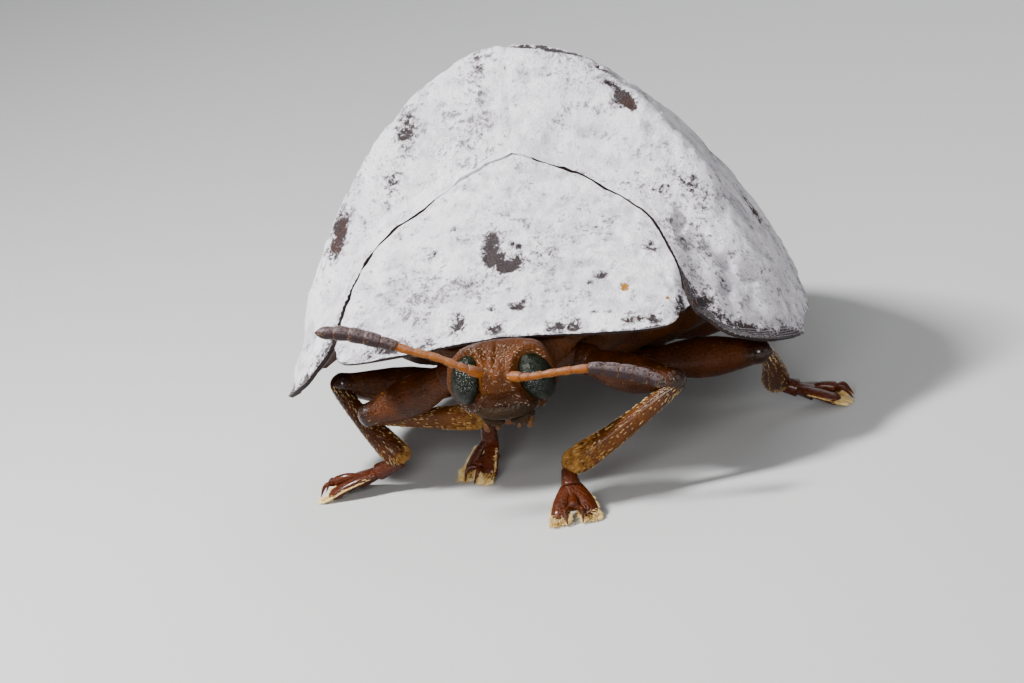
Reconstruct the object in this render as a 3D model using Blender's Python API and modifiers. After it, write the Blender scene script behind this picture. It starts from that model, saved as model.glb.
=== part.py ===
"""A tortoise beetle, life size, as a still model in a low standing pose.

The beetle faces -Y, +X is its own left, and the floor is Z = 0. Shapes are worked out in
millimetres and made in metres. The shell is one height function over the beetle's plan:
the shield on the thorax and the two wing cases are patches of it, parted by the base seam
and by the suture. The trunk, head and legs are lofts that stop short of their neighbours.
"""
import bmesh
import bpy
import numpy as np
from mathutils import Matrix, Vector

MM = 0.001
GAP = 0.26
MIDDLE_X = 0.443
MIDDLE_Y = -0.072

# Shell, seen from above
FRONT_Y = -8.0
FRONT_Z = 5.13
SEAM_Y = -2.65
SEAM_Z = 9.1
PEAK_Y = -0.5
PEAK_Z = 11.45
APEX_Y = 10.4
FACE_SLOPE = 2.1
PEAK_SHARP = 1.9
PEAK_ROUND = 0.35
HIND_BULGE = 3.0
WIDEST_Y = -3.2
HALF_WIDTH = 7.75
OUTLINE_POWER = (1.62, 0.53)
RIM_Z = 2.72
SECTION_POWER = 0.76
RIDGE_SWEEP = 0.045
SHIELD_WALL = 0.5
CORNER_X = 3.6
CORNER_FADE = 1.0

# Rows and columns of the two plates' grids, and half the width of the block that trims
# each wing case along the suture
CASE_GRID = (23, 19)
SHIELD_GRID = (11, 30)
SLAB_HALF = 2.0
SHIELD_BACK_STEP = 0.35
CASE_WALL = 0.55
SUTURE_HALF_GAP = 0.15
SUTURE_SPARE = 0.4
TAIL_END_X = 2.6

# Half of the base seam, from the midline to the shield's hind corner
SEAM = [
    (0.0, SEAM_Y, SEAM_Z), (1.45, -3.05, 8.65), (2.6, -3.45, 8.05), (3.7, -4.1, 7.5),
    (4.2, -4.45, 7.1), (4.65, -5.05, 6.6), (5.05, -5.75, 5.95), (5.43, -6.6, 5.0),
]
# Free front edge of a wing case, from that corner round the shoulder to the side
SHOULDER = [
    (5.43, -6.6, 5.0), (5.9, -6.68, 4.5), (6.35, -6.6, 4.05), (6.85, -6.15, 3.68),
    (7.28, -5.5, 3.36), (7.58, -4.7, 3.1), (7.71, -3.95, 2.88), (HALF_WIDTH, WIDEST_Y, RIM_Z),
]
# Half of the shield's front margin, from the hind corner to the midline
SHIELD_FRONT = [
    (4.96, -7.0, 4.97), (5.04, -7.32, 4.86), (4.85, -7.76, 4.83), (4.3, -8.13, 4.9),
    (3.2, -8.29, 4.99), (1.6, -8.14, 5.07), (0.0, FRONT_Y, FRONT_Z),
]

# Trunk: name, stations of (y, half width, keel z, roof limit z)
TRUNK = {
    "prothorax": [(-7.35, 1.7, 3.75, 9.0), (-6.9, 2.3, 3.6, 9.0), (-6.2, 2.9, 3.35, 9.0),
                  (-5.0, 3.4, 3.1, 9.0), (-4.1, 3.4, 2.9, 9.0)],
    "thorax": [(-3.7, 3.6, 2.75, 6.2), (-2.6, 4.8, 2.4, 7.4), (-0.8, 5.5, 2.2, 8.4),
               (1.0, 5.7, 2.2, 8.0), (2.2, 5.5, 2.3, 7.4)],
    "abdomen": [(2.5, 5.45, 2.3, 7.4), (4.0, 4.9, 2.15, 7.0), (5.8, 4.0, 2.1, 6.4),
                (7.4, 2.8, 2.15, 5.0), (8.6, 1.4, 2.3, 4.0)],
}

# Head
HEAD_CENTRE = (0.1, -8.75, 4.15)
HEAD_HALF = (1.55, 0.75, 1.05)
EYES = {"eye_right": ((-0.85, -9.13, 4.31), (0.49, 0.4, 0.74), 17.0),
        "eye_left": ((1.14, -9.13, 4.2), (0.51, 0.4, 0.74), -20.0)}
ANTENNA_Y = -10.0
ANTENNAE = {
    "antenna_right": [(-0.24, -9.88, 4.64), (-0.6, ANTENNA_Y, 4.96), (-1.37, ANTENNA_Y, 5.33),
                      (-2.2, ANTENNA_Y, 5.67), (-2.8, ANTENNA_Y, 5.95),
                      (-3.85, ANTENNA_Y, 6.35), (-4.8, ANTENNA_Y, 6.5)],
    "antenna_left": [(0.44, -9.9, 4.45), (1.18, ANTENNA_Y, 4.43), (2.08, ANTENNA_Y, 4.5),
                     (2.96, ANTENNA_Y, 4.5), (3.4, ANTENNA_Y, 4.43),
                     (4.36, ANTENNA_Y, 4.14), (5.1, ANTENNA_Y, 3.76)],
}
ANTENNA_BASE_RADIUS = 0.25
ANTENNA_CLUB_RADIUS = 0.3

# Legs: coxa, knee, end of the shin, tip of the toes
COXA_RADIUS = 0.62
LEGS = {
    "front_left": ((1.5, -6.6, 3.95), (4.95, -7.75, 3.15), (1.5, -8.6, 1.25), (1.75, -10.1, 0.0)),
    "front_right": ((-1.5, -6.4, 3.9), (-5.0, -6.1, 2.65), (-1.8, -4.8, 1.85),
                    (-2.2, -5.3, 0.0)),
    "middle_left": ((2.3, -2.3, 2.2), (6.7, -4.0, 2.6), (6.35, -1.7, 0.9), (8.2, -1.4, 0.0)),
    "middle_right": ((-2.3, -2.3, 2.15), (-6.1, -4.6, 3.3), (-4.35, -5.4, 1.05),
                     (-6.7, -5.1, 0.0)),
    "hind_left": ((2.1, 1.2, 1.98), (4.9, 4.2, 1.75), (4.4, 7.2, 0.85), (4.7, 8.95, 0.0)),
    "hind_right": ((-2.1, 1.2, 1.98), (-5.0, 4.3, 1.75), (-4.8, 7.4, 0.85), (-5.3, 9.1, 0.0)),
}
COXA_HOST = {"front": "prothorax", "middle": "thorax", "hind": "thorax"}
FEMUR_RADII = [0.36, 0.52, 0.62, 0.62, 0.52, 0.4]
TIBIA_RADII = [0.27, 0.29, 0.31, 0.35, 0.4, 0.36]

COLOURS = {
    "powder": ((0.72, 0.71, 0.74), 0.85),
    "underside": ((0.055, 0.022, 0.012), 0.45),
    "amber": ((0.20, 0.055, 0.018), 0.28),
    "horn": ((0.45, 0.16, 0.03), 0.35),
    "eye": ((0.012, 0.018, 0.014), 0.18),
    "pad": ((0.62, 0.50, 0.30), 0.8),
}


def fresh_scene():
    for thing in list(bpy.data.objects):
        bpy.data.objects.remove(thing, do_unlink=True)
    for name in ("tortoise_beetle", "cutters"):
        group = bpy.data.collections.new(name)
        bpy.context.scene.collection.children.link(group)
    return bpy.data.collections["tortoise_beetle"], bpy.data.collections["cutters"]


def finish_material(name):
    made = bpy.data.materials.get(name)
    if made:
        return made
    colour, roughness = COLOURS[name]
    made = bpy.data.materials.new(name)
    made.use_nodes = True
    shader = made.node_tree.nodes["Principled BSDF"]
    shader.inputs["Base Color"].default_value = (*colour, 1.0)
    shader.inputs["Roughness"].default_value = roughness
    return made


def place(points):
    """Millimetres of the design to metres about the middle of the whole animal."""
    points = np.asarray(points, float).reshape(-1, 3)
    return (points - (MIDDLE_X, MIDDLE_Y, 0.0)) * MM


def add_mesh(name, points, faces, group):
    mesh = bpy.data.meshes.new(name)
    mesh.from_pydata(place(points).tolist(), [], faces)
    mesh.shade_smooth()
    made = bpy.data.objects.new(name, mesh)
    group.objects.link(made)
    return made


def grid_faces(rows, cols, ring=False):
    """Quads over a grid of rows and columns; ring joins the last column to the first."""
    across = cols if ring else cols - 1
    return [(r * cols + c, r * cols + (c + 1) % cols,
             (r + 1) * cols + (c + 1) % cols, (r + 1) * cols + c)
            for r in range(rows - 1) for c in range(across)]


def spread(points, count):
    """Points along a smooth curve through the given ones, evenly by length.

    The curve is a Catmull-Rom spline: each span is the cubic whose end slopes are half
    the step between the neighbouring points.
    """
    given = np.asarray(points, float)
    ends = np.vstack([2 * given[0] - given[1], given, 2 * given[-1] - given[-2]])
    t = np.linspace(0.0, 1.0, 24, endpoint=False)[:, None]
    runs = []
    for a, b, c, d in zip(ends[:-3], ends[1:-2], ends[2:-1], ends[3:]):
        runs.append(0.5 * (2 * b + (c - a) * t + (2 * a - 5 * b + 4 * c - d) * t ** 2
                           + (3 * b - a - 3 * c + d) * t ** 3))
    line = np.vstack(runs + [given[-1:]])
    length = np.r_[0.0, np.cumsum(np.linalg.norm(np.diff(line, axis=0), axis=1))]
    wanted = np.linspace(0.0, length[-1], count)
    return np.stack([np.interp(wanted, length, line[:, k]) for k in range(line.shape[1])], 1)


def smooth_step(value):
    value = np.clip(value, 0.0, 1.0)
    return value * value * (3.0 - 2.0 * value)


def half_width(y):
    """Half width of the shell's outline: constant in front, a power curve to the apex."""
    reach = np.clip((np.asarray(y, float) - WIDEST_Y) / (APEX_Y - WIDEST_Y), 0.0, 1.0)
    return HALF_WIDTH * (1.0 - reach ** OUTLINE_POWER[0]) ** OUTLINE_POWER[1]


def ridge_line(y):
    """Height of the midline: shield slope, steep face, rounded peak, long hind slope."""
    y = np.asarray(y, float)
    front = SEAM_Z + (y - SEAM_Y) * (SEAM_Z - FRONT_Z) / (SEAM_Y - FRONT_Y)
    fall = (PEAK_Z - RIM_Z) / (APEX_Y - PEAK_Y)
    back = np.clip((y - PEAK_Y) / (APEX_Y - PEAK_Y), 0.0, 1.0)
    hind = PEAK_Z + PEAK_ROUND * (1.0 - back) - (y - PEAK_Y) * fall
    hind = hind + HIND_BULGE * back * (1.0 - back)
    face = SEAM_Z + (y - SEAM_Y) * FACE_SLOPE
    top = -np.log(np.exp(-PEAK_SHARP * hind) + np.exp(-PEAK_SHARP * face)) / PEAK_SHARP
    return np.where(y < PEAK_Y, np.maximum(top, front), top)


def shell_height(x, y):
    """Height of the shell over the plan.

    At each y the section falls from the midline to the rim as (1 - u squared) to a power,
    with u the distance out as a share of the half width. The ridge of the hump sweeps
    forward at the sides, by a shift of y that grows with x squared and fades behind.
    """
    x = np.asarray(x, float)
    y = np.asarray(y, float)
    sweep = RIDGE_SWEEP * x * x * (1.0 - smooth_step((y + 2.0) / 3.0))
    crest = ridge_line(y + sweep)
    out = np.clip(np.abs(x) / np.maximum(half_width(y), 0.05), 0.0, 1.0)
    section = np.maximum(1.0 - out * out, 0.0) ** SECTION_POWER
    return RIM_Z + (crest - RIM_Z) * section


def lift(x, y, normal_offset):
    """Height over the plan of a surface that lies inside the shell by normal_offset."""
    step = 0.05
    slope_x = (shell_height(x + step, y) - shell_height(x - step, y)) / (2 * step)
    slope_y = (shell_height(x, y + step) - shell_height(x, y - step)) / (2 * step)
    tilt = np.sqrt(1.0 + slope_x ** 2 + slope_y ** 2)
    return shell_height(x, y) - normal_offset * tilt


def outline(x_share_end, count):
    """Plan line of the rim from the widest place back to x = x_share_end, then the tail."""
    x = np.r_[np.linspace(HALF_WIDTH, 0.0, 400)]
    reach = (1.0 - (x / HALF_WIDTH) ** (1.0 / OUTLINE_POWER[1])) ** (1.0 / OUTLINE_POWER[0])
    line = np.stack([x, WIDEST_Y + (APEX_Y - WIDEST_Y) * reach], 1)
    side = line[line[:, 0] >= x_share_end]
    tail = line[line[:, 0] <= x_share_end]
    return spread(side[::12], count[0]), spread(tail[::-6], count[1])


def case_surface(rows, cols):
    """Left wing case as a grid: rows from the front edge to the apex, columns outwards.

    In plan it is a Coons patch between four lines: the seam with the shoulder in front,
    the suture, the rim, and a short stretch of rim at the tail. Heights come from the
    height function, drawn to those of the front edge over the first rows.
    """
    front = spread(SEAM[:-1] + SHOULDER, cols)
    rim, tail = outline(TAIL_END_X, (rows, cols))
    t = np.linspace(0.0, 1.0, rows)[:, None, None]
    s = np.linspace(0.0, 1.0, cols)[None, :, None]
    suture = np.zeros((rows, 1, 2))
    suture[:, 0, 1] = SEAM_Y + (APEX_Y - SEAM_Y) * t[:, 0, 0]
    fore = front[None, :, :2]
    corners = ((1 - s) * (1 - t) * fore[:, :1] + s * (1 - t) * fore[:, -1:]
               + (1 - s) * t * tail[None, :1] + s * t * tail[None, -1:])
    plan = ((1 - t) * fore + t * tail[None] + (1 - s) * suture + s * rim[:, None]) - corners
    z = shell_height(plan[..., 0], plan[..., 1])
    miss = front[:, 2] - shell_height(front[:, 0], front[:, 1])
    z = z + miss * (1.0 - smooth_step(t[..., 0] * 4.0))
    points = np.concatenate([plan, z[..., None]], -1)
    spare = points[:, :1] * (0.0, 1.0, 1.0) - (SUTURE_SPARE, 0.0, 0.0)
    return np.concatenate([spare, points], axis=1)


def shield_surface(rows, cols):
    """Shield as a grid: rows from its front margin to the base seam, columns across.

    Heights come from the height function, pulled to the two edge lines by weights that are
    squares in the middle and straight at the hind corner, where all rows end in one point.
    """
    half = cols // 2
    back = spread(SEAM, half + 1)
    miss_back = back[:, 2] - shell_height(back[:, 0], back[:, 1])
    back[:, 1] -= SHIELD_BACK_STEP
    back[:, 0] *= SHIELD_FRONT[0][0] / SEAM[-1][0]
    fore = spread(SHIELD_FRONT[::-1], half + 1)
    fore[-1, :2] = back[-1, :2]
    t = np.linspace(0.0, 1.0, rows)[:, None, None]
    points = fore * (1.0 - t) + back * t
    free = shell_height(points[..., 0], points[..., 1])
    miss_fore = fore[:, 2] - shell_height(fore[:, 0], fore[:, 1])
    miss_fore[-1] = miss_back[-1]
    t = t[..., 0]
    pull = 2.0 - np.linspace(0.0, 1.0, half + 1) ** 6
    points[..., 2] = free + miss_fore * (1.0 - t) ** pull + miss_back * t ** pull
    mirrored = points[:, :0:-1] * (-1.0, 1.0, 1.0)
    return np.concatenate([mirrored, points], axis=1)


def add_wall(thing, thickness):
    wall = thing.modifiers.new("wall", "SOLIDIFY")
    wall.thickness = thickness * MM
    wall.offset = -1.0
    wall.use_quality_normals = True


def weld(thing, distance=0.02):
    soft = bmesh.new()
    soft.from_mesh(thing.data)
    bmesh.ops.remove_doubles(soft, verts=soft.verts, dist=distance * MM)
    bmesh.ops.recalc_face_normals(soft, faces=soft.faces)
    soft.to_mesh(thing.data)
    soft.free()


def split_quads(thing):
    """Split every face into triangles, so that both skins of a wall bend alike."""
    shape = bmesh.new()
    shape.from_mesh(thing.data)
    bmesh.ops.triangulate(shape, faces=shape.faces)
    shape.to_mesh(thing.data)
    shape.free()


def make_cases(group, cutters):
    surface = case_surface(*CASE_GRID)
    rows, cols = surface.shape[:2]
    for name, side in (("elytron_left", 1.0), ("elytron_right", -1.0)):
        faces = grid_faces(rows, cols)
        if side < 0:
            faces = [face[::-1] for face in faces]
        case = add_mesh(name, surface * (side, 1.0, 1.0), faces, group)
        weld(case)
        point_up(case)
        add_wall(case, CASE_WALL)
        apply_modifiers(case)
        middle = 0.5 * (FRONT_Y + APEX_Y)
        slab = add_block("slab", (side * (SUTURE_HALF_GAP - SLAB_HALF), middle, PEAK_Z / 2),
                         (SLAB_HALF, APEX_Y - FRONT_Y, PEAK_Z), cutters)
        combine(case, [slab], "DIFFERENCE")
        case.data.materials.append(finish_material("powder"))


def make_shield(group):
    """Shield as a closed wall: its underside is the same grid, sunk into the body.

    It sinks along the normals in the middle and straight down at the hind corners, where
    the normals fan out so fast that they would cross inside the wall.
    """
    upper = shield_surface(*SHIELD_GRID)
    rows, cols = upper.shape[:2]
    normal = np.cross(np.gradient(upper, axis=1), np.gradient(upper, axis=0))
    normal = normal / np.maximum(np.linalg.norm(normal, axis=-1, keepdims=True), 1e-6)
    normal = normal * np.sign(normal[..., 2:].mean())
    plumb = smooth_step((np.abs(upper[..., :1]) - CORNER_X) / CORNER_FADE)
    way = normal * (1.0 - plumb) + (0.0, 0.0, 1.0) * plumb
    way = way / np.linalg.norm(way, axis=-1, keepdims=True)
    lower = upper - SHIELD_WALL * way
    index = np.arange(rows * cols).reshape(rows, cols)
    border = np.concatenate([index[0], index[1:, -1], index[-1, -2::-1], index[-2:0:-1, 0]])
    ahead = np.roll(border, -1)
    under = rows * cols
    faces = grid_faces(rows, cols)
    faces += [tuple(number + under for number in face[::-1]) for face in faces]
    faces += np.stack([border, border + under, ahead + under, ahead], 1).tolist()
    points = np.concatenate([upper.reshape(-1, 3), lower.reshape(-1, 3)])
    shield = add_mesh("pronotum", points, faces, group)
    weld(shield)
    split_quads(shield)
    shield.data.materials.append(finish_material("powder"))


def point_up(thing):
    """Turn an open sheet so that its faces look up, whichever way its grid ran."""
    total = sum((face.normal * face.area for face in thing.data.polygons), Vector())
    if total.z < 0.0:
        thing.data.flip_normals()


def make_trunk(group):
    """Trunk lengths: rings across the body, round below and fitted under the shell above."""
    walls = {"prothorax": SHIELD_WALL, "thorax": CASE_WALL, "abdomen": CASE_WALL + 0.15}
    for name, stations in TRUNK.items():
        stations = spread(stations, 12)
        turn = np.linspace(0.0, 2 * np.pi, 26, endpoint=False)
        rings = []
        for y, half, keel, roof in stations:
            x = half * np.cos(turn)
            middle = keel + 0.42 * min(half, 3.0)
            above = np.sin(turn) > 0.0
            z = middle + (middle - keel) * np.sin(turn)
            z = np.where(above, middle + (roof - middle) * np.sin(turn), z)
            room = lift(x, np.full_like(x, y), walls[name] + 1.4 * GAP)
            z = np.minimum(z, np.maximum(room, middle))
            rings.append(np.stack([x, np.full_like(x, y), z], 1))
        add_capped(name, rings, group).data.materials.append(finish_material("underside"))


def add_capped(name, rings, group):
    """Closed loft through rings of equal count, each end closed by one flat face."""
    rings = np.asarray(rings)
    rows, cols = rings.shape[:2]
    faces = grid_faces(rows, cols, ring=True)
    faces.append(tuple(range(cols - 1, -1, -1)))
    faces.append(tuple(range((rows - 1) * cols, rows * cols)))
    made = add_mesh(name, rings, faces, group)
    weld(made, 0.005)
    return made


def tube_rings(path, radii, sides=12, flatten=1.0, up=(0.0, 0.0, 1.0)):
    """Rings along a path, each across the path's direction, with rounded ends.

    A ring is an ellipse with the given radius across and radius times flatten along up.
    The ends close over a quarter circle, sampled at 0, 35, 65 and 85 degrees.
    """
    path = np.asarray(path, float)
    radii = np.asarray(radii, float)
    ahead = np.gradient(path, axis=0)
    ahead = ahead / np.linalg.norm(ahead, axis=1)[:, None]
    centres = []
    sizes = []
    for angle in np.radians([85.0, 65.0, 35.0]):
        centres.append(path[0] + ahead[0] * radii[0] * flatten * (1.0 - np.sin(angle)))
        sizes.append(radii[0] * np.cos(angle))
    heads = [ahead[0]] * 3
    for point, radius, way in zip(path[1:-1], radii[1:-1], ahead[1:-1]):
        centres.append(point)
        sizes.append(radius)
        heads.append(way)
    for angle in np.radians([35.0, 65.0, 85.0]):
        centres.append(path[-1] - ahead[-1] * radii[-1] * flatten * (1.0 - np.sin(angle)))
        sizes.append(radii[-1] * np.cos(angle))
        heads.append(ahead[-1])
    turn = np.linspace(0.0, 2 * np.pi, sides, endpoint=False)
    rings = []
    for centre, size, way in zip(centres, sizes, heads):
        side = np.cross(way, up)
        side = side / np.linalg.norm(side)
        rise = np.cross(side, way)
        rings.append(centre + size * (np.cos(turn)[:, None] * side
                                      + flatten * np.sin(turn)[:, None] * rise))
    return rings


def add_tube(name, path, radii, group, **how):
    return add_capped(name, tube_rings(path, radii, **how), group)


def add_ball(name, centre, half, group, lean=0.0, segments=14, rings=9):
    """Ellipsoid with the given half sizes, leaned sideways by an angle in degrees."""
    shape = bmesh.new()
    bmesh.ops.create_uvsphere(shape, u_segments=segments, v_segments=rings, radius=1.0)
    turn = Matrix.Rotation(np.radians(lean), 4, "Y")
    size = Matrix.Diagonal((half[0] * MM, half[1] * MM, half[2] * MM, 1.0))
    spot = Matrix.Translation(Vector(place(centre)[0]))
    bmesh.ops.transform(shape, matrix=spot @ turn @ size, verts=shape.verts)
    mesh = bpy.data.meshes.new(name)
    shape.to_mesh(mesh)
    shape.free()
    mesh.shade_smooth()
    made = bpy.data.objects.new(name, mesh)
    group.objects.link(made)
    return made


def apply_modifiers(thing):
    graph = bpy.context.evaluated_depsgraph_get()
    baked = bpy.data.meshes.new_from_object(thing.evaluated_get(graph))
    thing.modifiers.clear()
    thing.data = baked


def keep_largest(thing):
    """Keep only the largest closed surface of a mesh."""
    shape = bmesh.new()
    shape.from_mesh(thing.data)
    bmesh.ops.remove_doubles(shape, verts=shape.verts, dist=0.002 * MM)
    left = set(shape.faces)
    groups = []
    while left:
        seed = left.pop()
        found = [seed]
        for face in found:
            for edge in face.edges:
                for other in edge.link_faces:
                    if other in left:
                        left.discard(other)
                        found.append(other)
        groups.append(found)
    groups.sort(key=lambda faces: sum(face.calc_area() for face in faces))
    for faces in groups[:-1]:
        bmesh.ops.delete(shape, geom=faces, context="FACES")
    shape.to_mesh(thing.data)
    shape.free()


def combine(thing, others, operation):
    """One Boolean on a collection of closed meshes, applied, and its helpers removed."""
    helpers = bpy.data.collections.new("helpers")
    bpy.context.scene.collection.children.link(helpers)
    for other in others:
        for group in list(other.users_collection):
            group.objects.unlink(other)
        helpers.objects.link(other)
    step = thing.modifiers.new("combine", "BOOLEAN")
    step.operation = operation
    step.operand_type = "COLLECTION"
    step.collection = helpers
    step.solver = "EXACT"
    apply_modifiers(thing)
    keep_largest(thing)
    for other in others:
        bpy.data.objects.remove(other, do_unlink=True)
    bpy.data.collections.remove(helpers)


def make_head(group, cutters):
    head = add_ball("head", HEAD_CENTRE, HEAD_HALF, group, segments=24, rings=14)
    neck = add_ball("neck", (0.05, -8.3, 3.95), (1.0, 0.65, 0.6), cutters)
    muzzle = add_ball("muzzle", (0.12, -9.12, 3.64), (0.85, 0.5, 0.45), cutters)
    brow = add_tube("brow", [(-0.2, -9.3, 4.5), (0.1, -9.46, 4.45), (0.42, -9.3, 4.4)],
                    [0.25, 0.3, 0.25], cutters)
    combine(head, [neck, muzzle, brow], "UNION")
    sockets = []
    for name, (centre, half, lean) in EYES.items():
        eye = add_ball(name, centre, half, group, lean)
        eye.data.materials.append(finish_material("eye"))
        roomy = [size + 0.2 for size in half]
        sockets.append(add_ball("socket", centre, roomy, cutters, lean))
    combine(head, sockets, "DIFFERENCE")
    head.data.materials.append(finish_material("amber"))
    jaws = add_ball("mouthparts", (0.15, -9.2, 2.76), (0.5, 0.32, 0.22), group)
    for side in (-1.0, 1.0):
        x = 0.15 + side * 0.42
        palp = add_tube("palp", [(x, -9.2, 2.76), (x + side * 0.24, -9.4, 2.68),
                                 (x + side * 0.28, -9.5, 2.48)], [0.2, 0.22, 0.2], cutters)
        combine(jaws, [palp], "UNION")
    jaws.data.materials.append(finish_material("horn"))


def make_antennae(group):
    for name, joints in ANTENNAE.items():
        path = spread(joints, 22)
        along = np.linspace(0.0, 1.0, len(path))
        radii = ANTENNA_BASE_RADIUS + (ANTENNA_CLUB_RADIUS - ANTENNA_BASE_RADIUS) * (
            smooth_step((along - 0.45) / 0.2))
        radii = radii * (1.0 - 0.75 * smooth_step((along - 0.85) / 0.15))
        feeler = add_tube(name, path, radii, group, sides=10)
        feeler.data.materials.append(finish_material("horn"))


def thigh_rooms(cutters):
    """One tube around each thigh, wider than it by the gap."""
    rooms = []
    for joints in LEGS.values():
        hip, knee = np.array(joints[0]), np.array(joints[1])
        way = (knee - hip) / np.linalg.norm(knee - hip)
        start = hip + way * COXA_RADIUS
        steps = np.linspace(0.0, 1.0, len(FEMUR_RADII))[:, None]
        radii = np.array(FEMUR_RADII) + GAP
        rooms.append(add_tube("room", start + (knee - start) * steps, radii, cutters, sides=10))
    return rooms


def make_legs(group, cutters):
    """Legs: the coxa is a ball on the trunk, the thigh and shin are tapered tubes.

    The thigh is grooved for the folded shin, which keeps the gap between the two, and the
    trunk is grooved for the thighs.
    """
    for name in TRUNK:
        combine(bpy.data.objects[name], thigh_rooms(cutters), "DIFFERENCE")
    for name, joints in LEGS.items():
        hip, knee, ankle, toe = (np.array(point, float) for point in joints)
        host = bpy.data.objects[COXA_HOST[name.split("_")[0]]]
        coxa = add_ball("coxa", hip, [COXA_RADIUS] * 3, cutters, segments=12, rings=8)
        combine(host, [coxa], "UNION")
        way = (knee - hip) / np.linalg.norm(knee - hip)
        root = hip + way * (COXA_RADIUS + GAP)
        steps = np.linspace(0.0, 1.0, len(FEMUR_RADII))[:, None]
        femur = add_tube(name + "_femur", root + (knee - root) * steps, FEMUR_RADII, group)
        femur.data.materials.append(finish_material("amber"))
        shin_way = (ankle - knee) / np.linalg.norm(ankle - knee)
        start = knee + shin_way * FEMUR_RADII[-1]
        path = start + (ankle - start) * steps
        tibia = add_tube(name + "_tibia", path, TIBIA_RADII, group, sides=10)
        tibia.data.materials.append(finish_material("amber"))
        path[0] -= shin_way * GAP
        room = add_tube("room", path, np.array(TIBIA_RADII) + GAP, cutters)
        combine(femur, [room], "DIFFERENCE")
        make_foot(name, ankle, toe, shin_way, group, cutters)


def make_foot(name, ankle, toe, shin_way, group, cutters):
    """Foot: two short joints, a two-lobed pad, the claw joint and two claws, flat below."""
    flat_way = np.array([toe[0] - ankle[0], toe[1] - ankle[1], 0.0])
    flat_way = flat_way / np.linalg.norm(flat_way)
    side = np.array([-flat_way[1], flat_way[0], 0.0])
    rise = np.array([0.0, 0.0, 1.0])
    start = ankle + shin_way * (GAP + 0.2)
    pad = toe - flat_way * 0.6 + rise * 0.26
    foot = add_tube(name + "_tarsus", [start, 0.5 * (start + pad), pad], [0.3, 0.36, 0.4],
                    group, flatten=0.75, sides=10)
    knuckle = toe - flat_way * 0.15 + rise * 0.42
    pieces = [add_tube("claw_joint", [pad + rise * 0.1, 0.5 * (pad + knuckle), knuckle],
                       [0.2, 0.18, 0.2], cutters, sides=8)]
    for turn in (-1.0, 1.0):
        heel = pad - flat_way * 0.15 + side * turn * 0.22
        tip = toe + side * turn * 0.42 + rise * 0.17
        pieces.append(add_tube("lobe", [heel, 0.5 * (heel + tip), tip], [0.3, 0.32, 0.26],
                               cutters, flatten=0.9, sides=8))
        claw_tip = toe + flat_way * 0.4 + side * turn * 0.2 + rise * 0.2
        bend = 0.5 * (knuckle + claw_tip) + rise * 0.1 + side * turn * 0.08
        pieces.append(add_tube("claw", [knuckle - flat_way * 0.1, bend, claw_tip],
                               [0.15, 0.12, 0.05], cutters, sides=6))
    combine(foot, pieces, "UNION")
    under = 0.5 * (ankle + toe) * (1.0, 1.0, 0.0) - rise * 2.0
    slab = add_block("slab", under, (6.0, 6.0, 2.0), cutters)
    combine(foot, [slab], "DIFFERENCE")
    foot.data.materials.append(finish_material("pad"))


def add_block(name, centre, half, group):
    shape = bmesh.new()
    bmesh.ops.create_cube(shape, size=2.0)
    size = Matrix.Diagonal((half[0] * MM, half[1] * MM, half[2] * MM, 1.0))
    bmesh.ops.transform(shape, verts=shape.verts,
                        matrix=Matrix.Translation(Vector(place(centre)[0])) @ size)
    mesh = bpy.data.meshes.new(name)
    shape.to_mesh(mesh)
    shape.free()
    made = bpy.data.objects.new(name, mesh)
    group.objects.link(made)
    return made


def main():
    group, cutters = fresh_scene()
    make_cases(group, cutters)
    make_shield(group)
    make_trunk(group)
    make_head(group, cutters)
    make_antennae(group)
    make_legs(group, cutters)


main()
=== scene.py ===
# %% [markdown]
# # The looks of a powdered tortoise beetle
# A tortoise beetle wears its back like a lid: a shield over the thorax and two domed wing
# cases. On this one a white, mealy powder hides nearly all of the dark horn beneath. The
# solids of the animal are loaded first, because every visible piece is built over them and
# rides on the one body that they make up.

import bpy
import numpy as np
from mathutils import Matrix


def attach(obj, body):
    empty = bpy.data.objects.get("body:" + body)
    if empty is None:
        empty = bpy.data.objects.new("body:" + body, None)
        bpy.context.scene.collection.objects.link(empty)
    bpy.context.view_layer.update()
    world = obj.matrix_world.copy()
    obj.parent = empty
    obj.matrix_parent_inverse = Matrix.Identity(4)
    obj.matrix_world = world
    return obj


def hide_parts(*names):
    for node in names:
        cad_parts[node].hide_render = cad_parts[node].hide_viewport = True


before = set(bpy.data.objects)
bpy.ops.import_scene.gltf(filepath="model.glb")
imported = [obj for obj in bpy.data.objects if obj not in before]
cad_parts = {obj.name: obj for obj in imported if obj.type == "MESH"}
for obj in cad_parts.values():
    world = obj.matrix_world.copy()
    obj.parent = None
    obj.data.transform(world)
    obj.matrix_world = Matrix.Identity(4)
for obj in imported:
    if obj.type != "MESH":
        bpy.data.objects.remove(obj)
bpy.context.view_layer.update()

# %% [markdown]
# The beetle is measured in millimetres and Blender in metres. All shapes below are worked out
# in millimetres on the solids' own drawing, whose middle is a little off the midline of the
# body, and one function turns them into metres about the middle of the whole animal.

# %% Millimetres to metres
MM = 0.001
MIDDLE = np.array([0.443, -0.072, 0.0])


def to_metres(points):
    """Every point less the drawing's middle, times a thousandth."""
    return (np.asarray(points, float).reshape(-1, 3) - MIDDLE) * MM


def unit(vectors):
    """Each vector divided by its own length."""
    length = np.linalg.norm(vectors, axis=-1, keepdims=True)
    return vectors / np.maximum(length, 1e-9)


def smooth_step(value):
    """0 below 0, 1 above 1, and 3 v squared less 2 v cubed in between."""
    value = np.clip(value, 0.0, 1.0)
    return value * value * (3.0 - 2.0 * value)


print("middle of the drawing in mm:", MIDDLE.tolist())

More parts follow.
